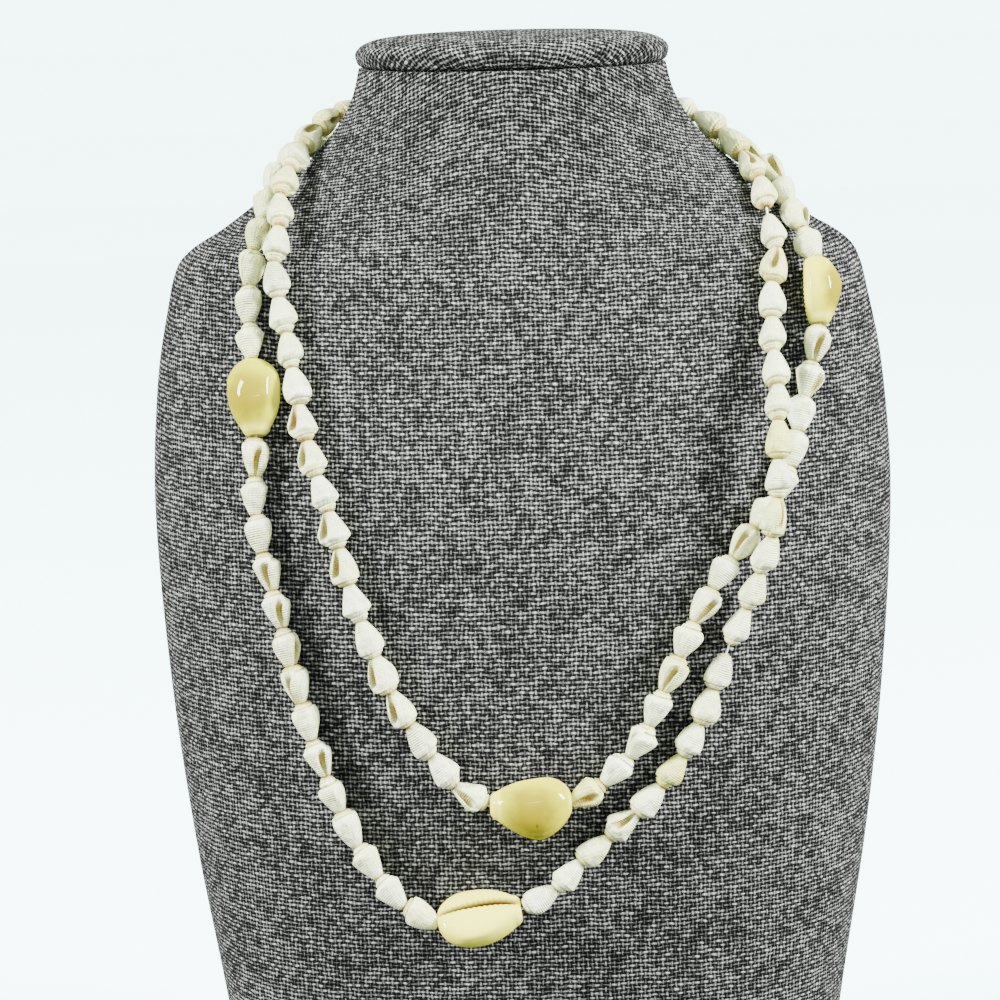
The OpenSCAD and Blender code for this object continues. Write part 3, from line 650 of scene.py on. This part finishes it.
def linen_material():
    """Plain weave on the cloth's own map, whose unit is one thread. Threads go over and under in turn,
    each is a soft ridge with a painted highlight along its top and painted shade in the dark gap beside
    it, and its tone changes along its length."""
    s = settings("bust")
    w = Wires("melange_linen")
    u, v, _ = w.parts(w.coordinates("UV"))
    cloth = w.place(u, v)
    du, dv, _ = w.parts(w.noise(cloth, STRAY_SCALE, 1.0, out=1))
    u = w.math("MULTIPLY_ADD", u, WARP_COUNT, w.times(w.minus(du, 0.5), STRAY))
    v = w.plus(v, w.times(w.minus(dv, 0.5), STRAY))
    column, row = w.math("FLOOR", u), w.math("FLOOR", v)
    fu, fv = w.minus(w.math("FRACT", u), 0.5), w.minus(w.math("FRACT", v), 0.5)
    over = w.minus(w.times(w.math("FLOORED_MODULO", w.plus(column, row), 2.0), 2.0), 1.0)
    warp_tone = w.noise(w.place(w.times(column, TONE_STEP), w.times(v, TONE_RUN), 3.0), 1.0, 1.0)
    weft_tone = w.noise(w.place(w.times(u, TONE_RUN), w.times(row, TONE_STEP), 9.0), 1.0, 1.0)

    def ridge(across, ahead, tone, widths, sign, swings):
        half = w.rise(tone, 0.3, 0.7, *widths)
        flat = w.math("POWER", w.math("ABSOLUTE", w.math("DIVIDE", across, half)), 2.0)
        body = w.math("SQRT", w.math("MAXIMUM", w.minus(1.0, flat), 0.0))
        swing = w.times(w.math("COSINE", w.times(ahead, np.pi)), sign)
        return w.times(body, w.math("MULTIPLY_ADD", swing, swings, 1.0 - swings))

    warp = ridge(fu, fv, warp_tone, WARP_WIDTHS, over, WARP_SWING)
    weft = ridge(fv, fu, weft_tone, WEFT_WIDTHS, w.times(over, -1.0), WEFT_SWING)
    height = w.math("MAXIMUM", warp, weft)
    warp_wins = w.math("GREATER_THAN", warp, weft)
    patches = w.noise(cloth, 0.11, 2.0)
    fibre = w.noise(cloth, 3.2, 3.0, 0.7)
    own = w.node("ShaderNodeTexWhiteNoise", {"Vector": w.place(column, row)})
    tone = w.sway(own, OWN_TONE, w.choose(warp_wins, weft_tone, warp_tone))
    tone = w.sway(patches, PATCH_TONE, tone)
    bright = w.times(w.rise(tone, 0.25, 0.75, 0.42, 1.0), w.rise(fibre, 0.25, 0.75, 0.60, 1.25))
    # Painted light: each thread's top is painted bright as a highlight, and the gaps between threads are
    # painted down to the dark colour as shade
    painted_crest_and_gap_shade = w.plus(w.rise(height, 0.0, 0.75, 0.10, 0.60), w.rise(height, 0.65, 1.0, 0.0, 0.40))
    # Painted highlight on the threads that go round and painted shade on those that go up
    bright = w.times(w.times(bright, painted_crest_and_gap_shade), w.choose(warp_wins, WEFT_PAINTED_HIGHLIGHT, WARP_PAINTED_SHADE))
    relief = w.plus(height, w.times(fibre, 0.25))
    return w.finish(Base_Color=w.mix(w.math("POWER", bright, 2.0), s.dark, s.light), Roughness=0.9,
                    Specular_IOR_Level=0.0, Normal=w.bump(relief, 0.9, 0.00035))


def shell_material():
    """White to cream worn shell: marks hold the mouth, the spire's warmth, the grooves and the cream,
    and the map's second part runs from spire to tip. Painted shade darkens the suture's crease through
    the mouth and cream marks, the shell's ends through the cream mark, and the grooves' troughs."""
    s = settings("shell")
    w = Wires("worn_shell")
    mouth, spire, groove, cream = w.attribute("marks")
    place = w.coordinates("Object")
    round_it, length, _ = w.parts(w.coordinates("UV"))
    cloud = w.noise(place, 300.0, 3.0, 0.55)
    fine = w.noise(place, 1400.0, 4.0, 0.65)
    lines = w.math("SINE", w.times(w.math("FRACT", w.times(length, GROOVES)), 2 * np.pi))
    # The cream mark carries painted shade too, so the cream colour also darkens the crease and the
    # shell's ends
    colour = w.mix(w.rise(w.sway(cloud, 1.2, cream), -0.1, 0.8), s.white, s.cream)
    colour = w.mix(w.rise(cloud, 0.54, 0.30, 0.0, 0.55), colour, s.worn)
    # Painted shade: tan painted into the troughs of the grooves
    groove_and_shade = w.times(w.rise(lines, -0.1, -0.9), w.times(groove, 0.42))
    colour = w.mix(groove_and_shade, colour, s.tan)
    colour = w.mix(w.times(spire, w.rise(fine, 0.25, 0.6, 0.5, 1.0)), colour, s.orange)
    inside = w.mix(w.rise(mouth, 0.60, 1.0), s.tan, s.orange)
    # The mouth mark also paints a tan line of shade along the suture's crease
    colour = w.mix(w.rise(mouth, 0.0, 0.55), colour, inside)
    growth = w.math("SINE", w.times(w.plus(round_it, w.times(fine, 0.05)), GROWTH_LINES))
    relief = w.plus(w.times(lines, w.times(groove, 0.55)), w.times(growth, 0.14))
    relief = w.plus(relief, w.times(fine, 0.5))
    lumps = w.bump(w.noise(place, 270.0, 1.0, 0.4), 1.0, 0.0016)
    return w.finish(Base_Color=colour, Roughness=w.rise(fine, 0.2, 0.8, 0.26, 0.42),
                    Specular_IOR_Level=0.5, Normal=w.bump(relief, 1.0, 0.00025, lumps))


def cowrie_material(name, gold, lemon, ivory, reach):
    """Glossy cowrie: gold in the middle of its back, lemon round it, ivory at its margin, and brown in
    its slit, partly its own colour and partly painted shade that is darkest where the slit is deepest.
    marks hold the back's middle, the margin, the slit and a speck, and reach is the mark from which
    gold begins."""
    brown = settings("cowrie").brown
    w = Wires(name)
    middle, margin, slit, speck = w.attribute("marks")
    place = w.coordinates("Object")
    cloud = w.noise(place, 170.0, 3.0, 0.55)
    fine = w.noise(place, 1300.0, 2.0)
    colour = w.mix(w.rise(w.sway(cloud, 0.9, middle), reach, reach + 0.7), lemon, gold)
    colour = w.mix(margin, colour, ivory)
    # The slit's brown is partly the shell's own colour and partly painted shade, darkest where the slit
    # is deepest
    colour = w.mix(speck, w.mix(slit, colour, brown), brown)
    relief = w.plus(cloud, w.times(fine, 0.2))
    return w.finish(Base_Color=colour, Roughness=0.35, Specular_IOR_Level=0.0, Coat_Weight=0.4,
                    Coat_Roughness=0.06, Normal=w.bump(relief, 0.12, 0.0004))


def thread_material():
    """White spun thread with a fine fuzz."""
    s = settings("thread")
    w = Wires("white_thread")
    fine = w.noise(w.coordinates("Object"), 2600.0, 3.0, 0.7)
    return w.finish(Base_Color=w.mix(w.rise(fine, 0.3, 0.7), s.shade, s.colour), Roughness=0.8,
                    Normal=w.bump(fine, 0.5, 0.0001))


def metal_material():
    """Satin brass, brushed round the barrel."""
    s = settings("thread")
    w = Wires("clasp_brass")
    place = w.coordinates("Object")
    x, y, z = w.parts(place)
    brushed = w.noise(w.place(w.times(x, 9000.0), w.times(y, 300.0), w.times(z, 300.0)), 1.0, 3.0, 0.6)
    dull = w.noise(place, 500.0, 3.0)
    return w.finish(Base_Color=w.mix(w.rise(dull, 0.35, 0.75), s.metal, s.tarnish), Metallic=1.0,
                    Roughness=w.rise(dull, 0.2, 0.8, 0.28, 0.5), Normal=w.bump(brushed, 0.25, 0.00005))


def wrapped(grid):
    """A grid with its first column again at its end."""
    return np.concatenate([grid, grid[:, :1]], 1)


def cloth_map(grid, zero_row, pitch):
    """Map of a closed surface in threads: the length run round each ring from its front, and the length
    run up each column from one ring."""
    round_run, up_run = run_along(wrapped(grid), 1), run_along(wrapped(grid))
    front = round_run[:, grid.shape[1] // 2]
    return np.stack([round_run - front[:, None], up_run - up_run[zero_row]], -1)[None] / pitch


class NECKLACE_OT_bust(bpy.types.Operator):
    """Linen covered bust: the skin's squared ovals from foot to neck, closed under the foot and cap"""
    bl_idname = "necklace.bust"
    bl_label = "Bust"

    def execute(self, context):
        s = settings("bust")
        angle = 90 + np.arange(BUST_COLUMNS) * 360 / BUST_COLUMNS
        body = skin(*np.meshgrid(angle, np.linspace(0, 1, BUST_RINGS)))
        middle = np.array([0, body[0, :, 1].mean(), 0])
        top = np.array([0, body[-1, :, 1].mean(), s.height])
        foot = [middle + (body[0] - middle) * k for k in (0.05, 0.5, 0.9, 1 - FOOT_ROUND / s.front)]
        lid = [top + (body[-1] - top) * k for k in (0.7, 0.2)]
        body[0, :, 2] += FOOT_ROUND * 0.6
        grid = np.concatenate([np.array(foot), body, np.array(lid)])
        uv = cloth_map(grid, len(foot) + int(0.6 * BUST_RINGS), s.pitch)
        add_piece("linen_bust", grid[None], "bust", linen_material(), uv=uv)
        return {"FINISHED"}


class NECKLACE_OT_cap(bpy.types.Operator):
    """Padded cap: an oval whose size follows a smooth profile from the drawn-in edge over the swollen
    rim to the domed top"""
    bl_idname = "necklace.cap"
    bl_label = "Cap"

    def execute(self, context):
        s = settings("bust")
        angle = np.radians(90 + np.arange(CAP_COLUMNS) * 360 / CAP_COLUMNS)
        last = len(CAP_SECTIONS) - 1
        profile = np.column_stack([np.arange(last + 1), CAP_SECTIONS])
        height, swell, plan = smooth_table(profile, np.linspace(0, last, CAP_RINGS)[:, None])
        swell = swell * np.where(swell < 0, s.cap_tuck, s.cap_lip)
        middle = (skin(90, np.array(1.0))[1] + skin(-90, np.array(1.0))[1]) / 2
        grid = joined(plan * (s.neck_width / 2 + swell) * np.cos(angle),
                      middle + plan * (s.neck_depth / 2 + swell) * np.sin(angle),
                      s.height + np.clip(height, 0, 1) * s.cap_height)
        under = grid[0] * [0.3, 0.3, 1] + [0, middle * 0.7, 0]
        grid = np.concatenate([under[None], grid])
        reach = run_along(wrapped(grid)[::-1])[::-1]
        centre = np.array([0, middle, s.height + s.cap_height])
        way = unit((wrapped(grid)[CAP_RIM] - centre)[:, :2])
        uv = (reach[..., None] * way)[None] / s.pitch
        material = bpy.data.materials.get("melange_linen") or linen_material()
        piece = add_piece("linen_cap", grid[None], "bust_cap", material, uv=uv)
        return {"FINISHED"}


def small_shells(name, node, which, faces, seed):
    """One strand's small shells. Each ring of a shell goes round the body wall, down into the mouth and
    out over the lip. The suture winds up the shell by a fixed share to a turn: below it the radius
    follows the last whorl's outline, and above it a blunt spire, a low power of the height, in steps."""
    s = settings("shell")
    route, stops = STRANDS[which]
    line = strand(route)
    spans = shell_spans(stop_spans(line[2], stops))
    n = len(spans)
    rng = np.random.default_rng(seed)
    hidden = [HIDDEN_FACES[k % len(HIDDEN_FACES)] for k in range(n)]
    shown = hidden[:FIRST_SHOWN] + faces + hidden[FIRST_SHOWN + len(faces):]
    turn, cream, warmth = [np.array([face[k] for face in shown])[:, None, None] for k in (0, 2, 3)]
    form = np.array([FORMS[face[1]] for face in shown]).T
    suture, keel, spire, stepping, ribs, grooves, flare = form[..., None, None]
    suture = suture * rng.uniform(0.9, 1.12, (n, 1, 1))
    half = s.width / 2 * rng.uniform(0.99, 1.07, (n, 1, 1))

    on_skin = np.concatenate([np.linspace(SKIN_START, SPIRE_END, SPIRE_ROWS),
                              np.linspace(SPIRE_END, SKIN_END, BODY_ROWS + 1)[1:]])
    rows = np.array(HOLE_ROWS + [(place, 0) for place in on_skin] + TIP_ROWS)
    z, bored = rows[None, :, 0, None], rows[None, :, 1, None]

    body = np.linspace(BODY_FROM, BODY_TO, BODY_COLUMNS)
    mouth_angle, mouth_radius = MOUTH_RING.T
    open_angle = np.concatenate([body, mouth_angle])
    closed_angle = np.concatenate([body, np.linspace(BODY_TO, BODY_FROM + 360,
                                                     len(MOUTH_RING) + 2)[1:-1]])
    lip = LIP_SWELL * bell(body - BODY_FROM, 14)
    open_radius = np.concatenate([1 - WHORL_GROWTH * body / 360 + lip, mouth_radius])
    closed_radius = 1 - WHORL_GROWTH * (closed_angle % 360) / 360
    in_mouth = np.concatenate([0 * body, step(0.90, 0.62, mouth_radius) * (mouth_angle > HOLLOW_FROM)])
    on_lip = np.concatenate([bell(body - BODY_FROM, 20), mouth_angle > LIP_FROM])

    opened = step(suture - 0.01, suture + 0.30, z) * (1 - 0.6 * step(0.52, 1.0, z))
    angle = np.radians(closed_angle + opened * (open_angle - closed_angle))
    own = suture * SUTURE_GROWTH ** -np.clip(angle / (2 * np.pi), 0, 1)
    rounded, keeled = smooth_table(BODY_OUTLINE, np.clip((z - own) / (1 - own), 0, 1))
    whorl = np.log(z / own) / np.log(SUTURE_GROWTH) % 1.0
    top = spire * (z / own) ** SPIRE_POWER * (1 - stepping * STEP_SHARE * (1 - np.sin(np.pi * whorl)))
    below = step(own - 0.006, own + 0.018, z)
    outline = top + (rounded + keel * (keeled - rounded) - top) * below
    crease = bell(z - own, CREASE_WIDTH)
    ring = closed_radius + opened * (open_radius - closed_radius)
    ring = 1 + (ring - 1) * np.maximum(opened, step(own, own + 0.08, z))
    belly = step(suture, suture + 0.15, z) * (1 - step(0.75, 1.0, z))
    ring = ring + opened * on_lip * flare * 1.6 * belly
    ring = ring * (1 + ribs * np.cos(RIBS * angle) * step(0.12, 0.25, z) * (1 - step(0.5, 0.75, z)))
    worn = rng.uniform(0, 2 * np.pi, (len(WEAR), n, 1, 1))
    ring = ring * sum((depth * np.sin(waves * angle + twist * z + phase)
                       for (depth, waves, twist), phase in zip(WEAR, worn)), start=1)
    fold = bell(around(angle - worn[2] - FOLD_TWIST * z), FOLD_WIDTH)
    ring = ring * (1 + FOLD_DEPTH * fold * step(own, own + 0.10, z) * (1 - step(0.6, 0.95, z)))
    knobbly = bell(z - own - KNOB_PLACE, KNOB_WIDTH) * keel
    ring = ring * (1 + KNOB_DEPTH * knobbly * np.cos(KNOBS * angle + worn[1]))
    radius = np.where(bored > 0, bored, outline * (1 - CREASE_DEPTH * crease) * ring)
    slant = MOUTH_SLANT * (z - 0.75 + 0.5 * np.sin(np.pi * z)) * (bored == 0)
    about = np.radians(turn) + slant - np.where(bored > 0, np.radians(closed_angle), angle)

    start_at, axes, length = frames(line, spans)
    length = (length - s.gap + s.nest + rng.uniform(0.0, EXTRA_LENGTH, n))[:, None, None]
    bend = rng.uniform(-LEAN, LEAN, (2, n, 1, 1)) * (z - 0.5) * length
    local = joined(half * radius * np.cos(about) + bend[0], half * radius * np.sin(about) + bend[1],
                   s.gap / 2 + length * z)[:, :, ::-1]
    grids = start_at[:, None, None] + np.einsum("nrck,nkm->nrcm", local, axes)

    hollow = opened * in_mouth
    # The mouth mark: the mouth's own tan or orange in its hollow, and painted shade, a tan line along
    # the suture's crease
    mouth = hollow * (0.5 + 0.5 * warmth) + (1 - hollow) * 0.30 * crease
    warm = step(0.15, 0.02, z) * (0.25 + 0.75 * warmth)
    # Where grooves are cut: this sets their relief and the painted shade in their troughs
    groove_and_shade = np.maximum(grooves * step(0.25, 0.50, z), opened * on_lip * 0.8)
    # The cream mark: each shell's share of cream, plus painted shade in the suture's crease and towards
    # both ends, where the shells meet
    dull = cream + 0.55 * crease + 0.5 * step(0.10, 0.0, z) + 0.5 * step(0.88, 1.0, z)
    marks = joined(mouth, warm, groove_and_shade, dull)[:, :, ::-1]
    columns = len(open_angle)
    uv = joined(np.arange(columns + 1) / columns, z + np.arange(n)[:, None, None])
    material = bpy.data.materials.get("worn_shell") or shell_material()
    add_piece(name, grids, node, material, uv=uv, marks=marks)


class NECKLACE_OT_shells(bpy.types.Operator):
    """Small shells of both strands, each a stepped spire, a body whorl with a mouth and a narrow tip"""
    bl_idname = "necklace.shells"
    bl_label = "Small shells"

    def execute(self, context):
        small_shells("shells_outer", "outer_shells", "outer", OUTER_FACES, 11)
        small_shells("shells_inner", "inner_shells", "inner", INNER_FACES, 23)
        return {"FINISHED"}


def patch(z, angle, place, at_angle, reach, spread):
    """Round patch of height 1 at a place along a cowrie and an angle from its back."""
    return bell(z - place, reach) * bell(around(angle - np.radians(at_angle)), np.radians(spread))


def cowrie(name, node, which, stop, turn, sag, knobs, speck, material):
    """A cowrie: at each place along it a squared oval, higher above the thread than below it, with a
    slit and its teeth along the mouth side, a rolled margin and a funnel at each end. sag shifts its
    middle sideways, and knobs are (place, angle, height, length, spread) of the bumps on its margin."""
    s, shell = settings("cowrie"), settings("shell")
    route, stops = STRANDS[which]
    line = strand(route)
    share = stops[stop][2]
    start_at, axes, length = frames(line, np.array([stop_spans(line[2], stops)[stop + 1]]))
    funnel, drawn = COWRIE_FUNNEL.T
    z = np.concatenate([funnel, np.linspace(0.0, 1.0, COWRIE_ROWS), 1 - funnel[::-1]])[:, None]
    drawn_in = np.concatenate([drawn, np.ones(COWRIE_ROWS), drawn[::-1]])[:, None]
    inside = np.clip(z, 0, 1)
    width, high, low = smooth_table(COWRIE_OUTLINE, inside)
    even = np.arange(COWRIE_COLUMNS) / COWRIE_COLUMNS * 2 * np.pi
    angle = (even + CROWDING * np.sin(even))[None]
    c, n = np.cos(angle), np.sin(angle)
    below = c < 0
    drop = shell.width / 2
    tall = np.where(below, low * drop, high * (s.height * share - drop))
    x = oval(c, np.where(below, MOUTH_ROUND, BACK_ROUND)) * tall * drawn_in
    y = oval(n, WIDTH_ROUND) * width * s.width * share / 2 * drawn_in
    inner = np.sin(np.pi * inside) ** 0.5 * (drawn_in == 1)
    off = y - SLIT_BEND * s.width * np.sin(np.pi * z)
    gape = s.slit * (0.42 + 0.34 * z)
    groove = bell(off, gape) * below * inner
    tooth = np.clip(np.cos(2 * np.pi * TEETH * z), -0.2, 1) * below * inner
    teeth = tooth * bell(np.abs(off) - 2.0 * gape, 1.2 * gape)
    x = x + SLIT_DEPTH * s.slit * groove - TOOTH_HEIGHT * teeth
    from_back = np.abs(around(angle))
    swell = sum(height * (bell(from_back - np.radians(at_angle), np.radians(spread)) * inner)
                for at_angle, spread, height in MARGIN_FORMS)
    for place, at_angle, height, reach, spread in knobs:
        swell = swell + height * patch(z, angle, place, at_angle, reach, spread)
    out = unit(joined(x, y * 0.8))
    x = x + out[..., 0] * swell
    y = y + out[..., 1] * swell + sag * np.sin(np.pi * inside)
    cos_t, sin_t = np.cos(np.radians(turn)), np.sin(np.radians(turn))
    local = joined(x * cos_t - y * sin_t, x * sin_t + y * cos_t,
                   shell.gap / 2 + z * (length[0] - shell.gap))
    grid = start_at[0] + local @ axes[0]
    back = step(-0.1, 1.0, c) * np.sin(np.pi * inside) ** 1.1
    margin = 0.8 * step(0.40, -0.40, c) + 0.7 * step(0.84, 0.90, z) + 0.5 * step(0.06, 0.0, z)
    # Slit mark follows the slit's depth, so its brown is partly own colour and partly painted shade; the
    # teeth cut into it
    brown = 1.5 * groove ** 0.7 - 0.55 * np.clip(tooth, 0, 1) * (off < 0) * (groove > 0.02)
    spot = speck[2] * patch(z, angle, speck[0], speck[1], 0.012, 4.0)
    marks = joined(back, np.clip(margin, 0, 1), np.clip(brown, 0, 1), spot)
    add_piece(name, grid[None], node, material, marks=marks[None])


class NECKLACE_OT_cowries(bpy.types.Operator):
    """The four cowries, each on its own place of a strand"""
    bl_idname = "necklace.cowries"
    bl_label = "Cowries"

    def execute(self, context):
        s = settings("cowrie")
        looks = {"cowrie_gold": (s.gold, s.lemon, s.ivory, 0.25),
                 "cowrie_pale": (s.gold, s.pale, s.ivory, 0.10),
                 "cowrie_cream": (s.pale, s.cream, s.ivory, 0.10)}
        materials = {name: cowrie_material(name, *look) for name, look in looks.items()}
        for *row, look in COWRIES:
            cowrie(*row, materials[look])
        return {"FINISHED"}


def thread(name, node, which, start_side):
    """A thread of two plies: a tube along the line of shells from clasp to clasp, its section an oval of
    two rounds that turns once in each twist."""
    s = settings("thread")
    route, stops = STRANDS[which]
    points, normals, run = strand(route)
    spans = stop_spans(run, stops)
    edges = np.unique(np.concatenate([[0, run[-1]], np.ravel(shell_spans(spans)), np.ravel(spans)]))
    away = outward(90, np.array(CLASP_HEIGHT))
    lift = s.clasp_width / 2 + settings("shell").rest_gap
    clasp_middle = skin(90, np.array(CLASP_HEIGHT)) + away * lift

    def in_clasp(side, floor, depth):
        return clasp_middle + [side * (s.clasp_length / 2 - depth), 0,
                               floor * (s.thickness + BORE_APART) / 2]

    corners = np.vstack([in_clasp(start_side, -1, CLASP_SEAT), in_clasp(start_side, -1, -CLASP_SPARE),
                         along(points, run, edges),
                         in_clasp(-start_side, 1, -CLASP_SPARE), in_clasp(-start_side, 1, CLASP_SEAT)])
    lengths = run_along(corners)
    fine = np.linspace(0, lengths[-1], int(lengths[-1] / (s.twist / STEPS_A_TWIST)))
    centre = along(corners, lengths, fine)
    ahead = unit(np.gradient(centre, axis=0))
    corner_normals = np.vstack([away, away, along(normals, run, edges), away, away])
    side = unit(np.cross(ahead, along(corner_normals, lengths, fine)))
    out = np.cross(side, ahead)
    angle = np.arange(THREAD_COLUMNS) * 2 * np.pi / THREAD_COLUMNS
    turned = angle[None] + 2 * np.pi * (fine / s.twist)[:, None]
    radius = s.thickness / 2 * (0.74 + 0.26 * np.abs(np.cos(turned)))
    grid = (centre[:, None] + (radius * np.cos(angle))[..., None] * out[:, None]
            + (radius * np.sin(angle))[..., None] * side[:, None])
    material = bpy.data.materials.get("white_thread") or thread_material()
    add_piece(name, grid[None], node, material)


class NECKLACE_OT_threads(bpy.types.Operator):
    """The two threads, from clasp to clasp through every shell"""
    bl_idname = "necklace.threads"
    bl_label = "Threads"

    def execute(self, context):
        thread("thread_outer", "outer_thread", "outer", -1)
        thread("thread_inner", "inner_thread", "inner", 1)
        return {"FINISHED"}


class NECKLACE_OT_clasp(bpy.types.Operator):
    """The barrel clasp, which keeps its solid's shape and gets a brushed brass finish"""
    bl_idname = "necklace.clasp"
    bl_label = "Clasp"

    def execute(self, context):
        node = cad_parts["clasp"]
        node.data.materials.clear()
        node.data.materials.append(metal_material())
        return {"FINISHED"}


def aim(piece, place, direction, roll=0.0):
    """Puts a lamp or camera at a place, looking along a direction and rolled about it."""
    piece.location = place
    piece.rotation_mode = "QUATERNION"
    piece.rotation_quaternion = direction.to_track_quat("-Z", "Y") @ Quaternion((0, 0, 1), -roll)


class NECKLACE_OT_stage(bpy.types.Operator):
    """Pale sweep that rises all round, soft studio light and the camera. The sweep is a surface of
    revolution, flat to six tenths of its radius and then a quarter round up to its wall"""
    bl_idname = "necklace.stage"
    bl_label = "Stage"

    def execute(self, context):
        s = settings("stage")
        count = SWEEP_COLUMNS
        turn = np.arange(count) * 2 * np.pi / count
        rise = np.radians(np.linspace(0, 90, 13))
        radius = np.concatenate([[0.02], s.sweep * (0.6 + 0.4 * np.sin(rise)), [s.sweep]])
        height = np.concatenate([[0.0], s.sweep * 0.4 * (1 - np.cos(rise)), [s.sweep]])
        points = [(r * np.cos(t), r * np.sin(t), h) for r, h in zip(radius, height) for t in turn]
        faces = [(i * count + (j + 1) % count, (i + 1) * count + (j + 1) % count,
                  (i + 1) * count + j, i * count + j)
                 for i in range(len(radius) - 1) for j in range(count)]
        mesh = bpy.data.meshes.new("sweep")
        mesh.from_pydata(points, [], faces + [tuple(range(count))])
        sweep = put_in_scene("sweep", mesh)
        paper = Wires("paper").finish(Base_Color=(0.7, 0.75, 0.75), Roughness=0.9,
                                      Emission_Color=s.paper, Emission_Strength=s.glow)
        mesh.materials.append(paper)
        for way in ("diffuse", "glossy", "transmission", "volume_scatter", "shadow"):
            setattr(sweep, "visible_" + way, False)

        world = bpy.data.worlds.new("studio")
        world.use_nodes = True
        nodes, links = world.node_tree.nodes, world.node_tree.links
        way, split, sky = [nodes.new("ShaderNode" + kind)
                           for kind in ("TexCoord", "SeparateXYZ", "MapRange")]
        for key, value in (("From Min", -0.2), ("From Max", 1.0), ("To Min", s.light_below),
                           ("To Max", s.light_above)):
            sky.inputs[key].default_value = value
        background = nodes["Background"].inputs
        background["Color"].default_value = (0.92, 1.0, 1.0, 1)
        links.new(way.outputs["Generated"], split.inputs[0])
        links.new(split.outputs["Z"], sky.inputs["Value"])
        links.new(sky.outputs["Result"], background["Strength"])
        context.scene.world = world

        for name, place, wide, high, power in (
                ("window_left", (-1.85, -0.75, 1.2), 0.35, 0.9, s.lamp_left),
                ("window_right", (1.8, -0.7, 1.15), 0.35, 0.9, s.lamp_right),
                ("strip", (0.0, -1.55, 0.88), 0.9, 0.05, s.lamp_strip)):
            light = bpy.data.lights.new(name, "AREA")
            light.shape = "RECTANGLE"
            light.size = wide
            light.size_y = high
            light.energy = power
            aim(put_in_scene(name, light), place, Vector((0, 0, 0.2)) - Vector(place))

        camera = put_in_scene("camera", bpy.data.cameras.new("camera"))
        back = Vector((0, -np.cos(s.elevation), np.sin(s.elevation)))
        aim(camera, Vector(s.target) + back * s.distance, -back, s.roll)
        camera.data.lens = s.lens
        camera.data.sensor_width = 36
        camera.data.clip_start = 0.01
        context.scene.camera = camera
        return {"FINISHED"}


OPERATORS = [NECKLACE_OT_bust, NECKLACE_OT_cap, NECKLACE_OT_shells, NECKLACE_OT_cowries,
             NECKLACE_OT_threads, NECKLACE_OT_clasp, NECKLACE_OT_stage]
GROUPS = {"bust": BustSettings, "shell": ShellSettings, "cowrie": CowrieSettings,
          "thread": ThreadSettings, "stage": StageSettings}


class NECKLACE_PT_panel(bpy.types.Panel):
    """Lists the pieces and their settings"""
    bl_idname = "NECKLACE_PT_panel"
    bl_label = "Shell necklace"
    bl_space_type = "VIEW_3D"
    bl_region_type = "UI"
    bl_category = "Shell necklace"

    def draw(self, context):
        for operator in OPERATORS:
            self.layout.operator(operator.bl_idname)
        for name, group in GROUPS.items():
            box = self.layout.box()
            box.label(text=name.capitalize())
            for key in group.__annotations__:
                box.prop(settings(name), key)


def register():
    for kind in [*GROUPS.values(), *OPERATORS, NECKLACE_PT_panel]:
        bpy.utils.register_class(kind)
    for name, group in GROUPS.items():
        setattr(bpy.types.Scene, "necklace_" + name, PointerProperty(type=group))


def unregister():
    for name in GROUPS:
        delattr(bpy.types.Scene, "necklace_" + name)
    for kind in [NECKLACE_PT_panel, *reversed(OPERATORS), *reversed(list(GROUPS.values()))]:
        bpy.utils.unregister_class(kind)


def main():
    register()
    for operator in OPERATORS:
        group, name = operator.bl_idname.split(".")
        getattr(getattr(bpy.ops, group), name)()


if __name__ == "__main__":
    main()
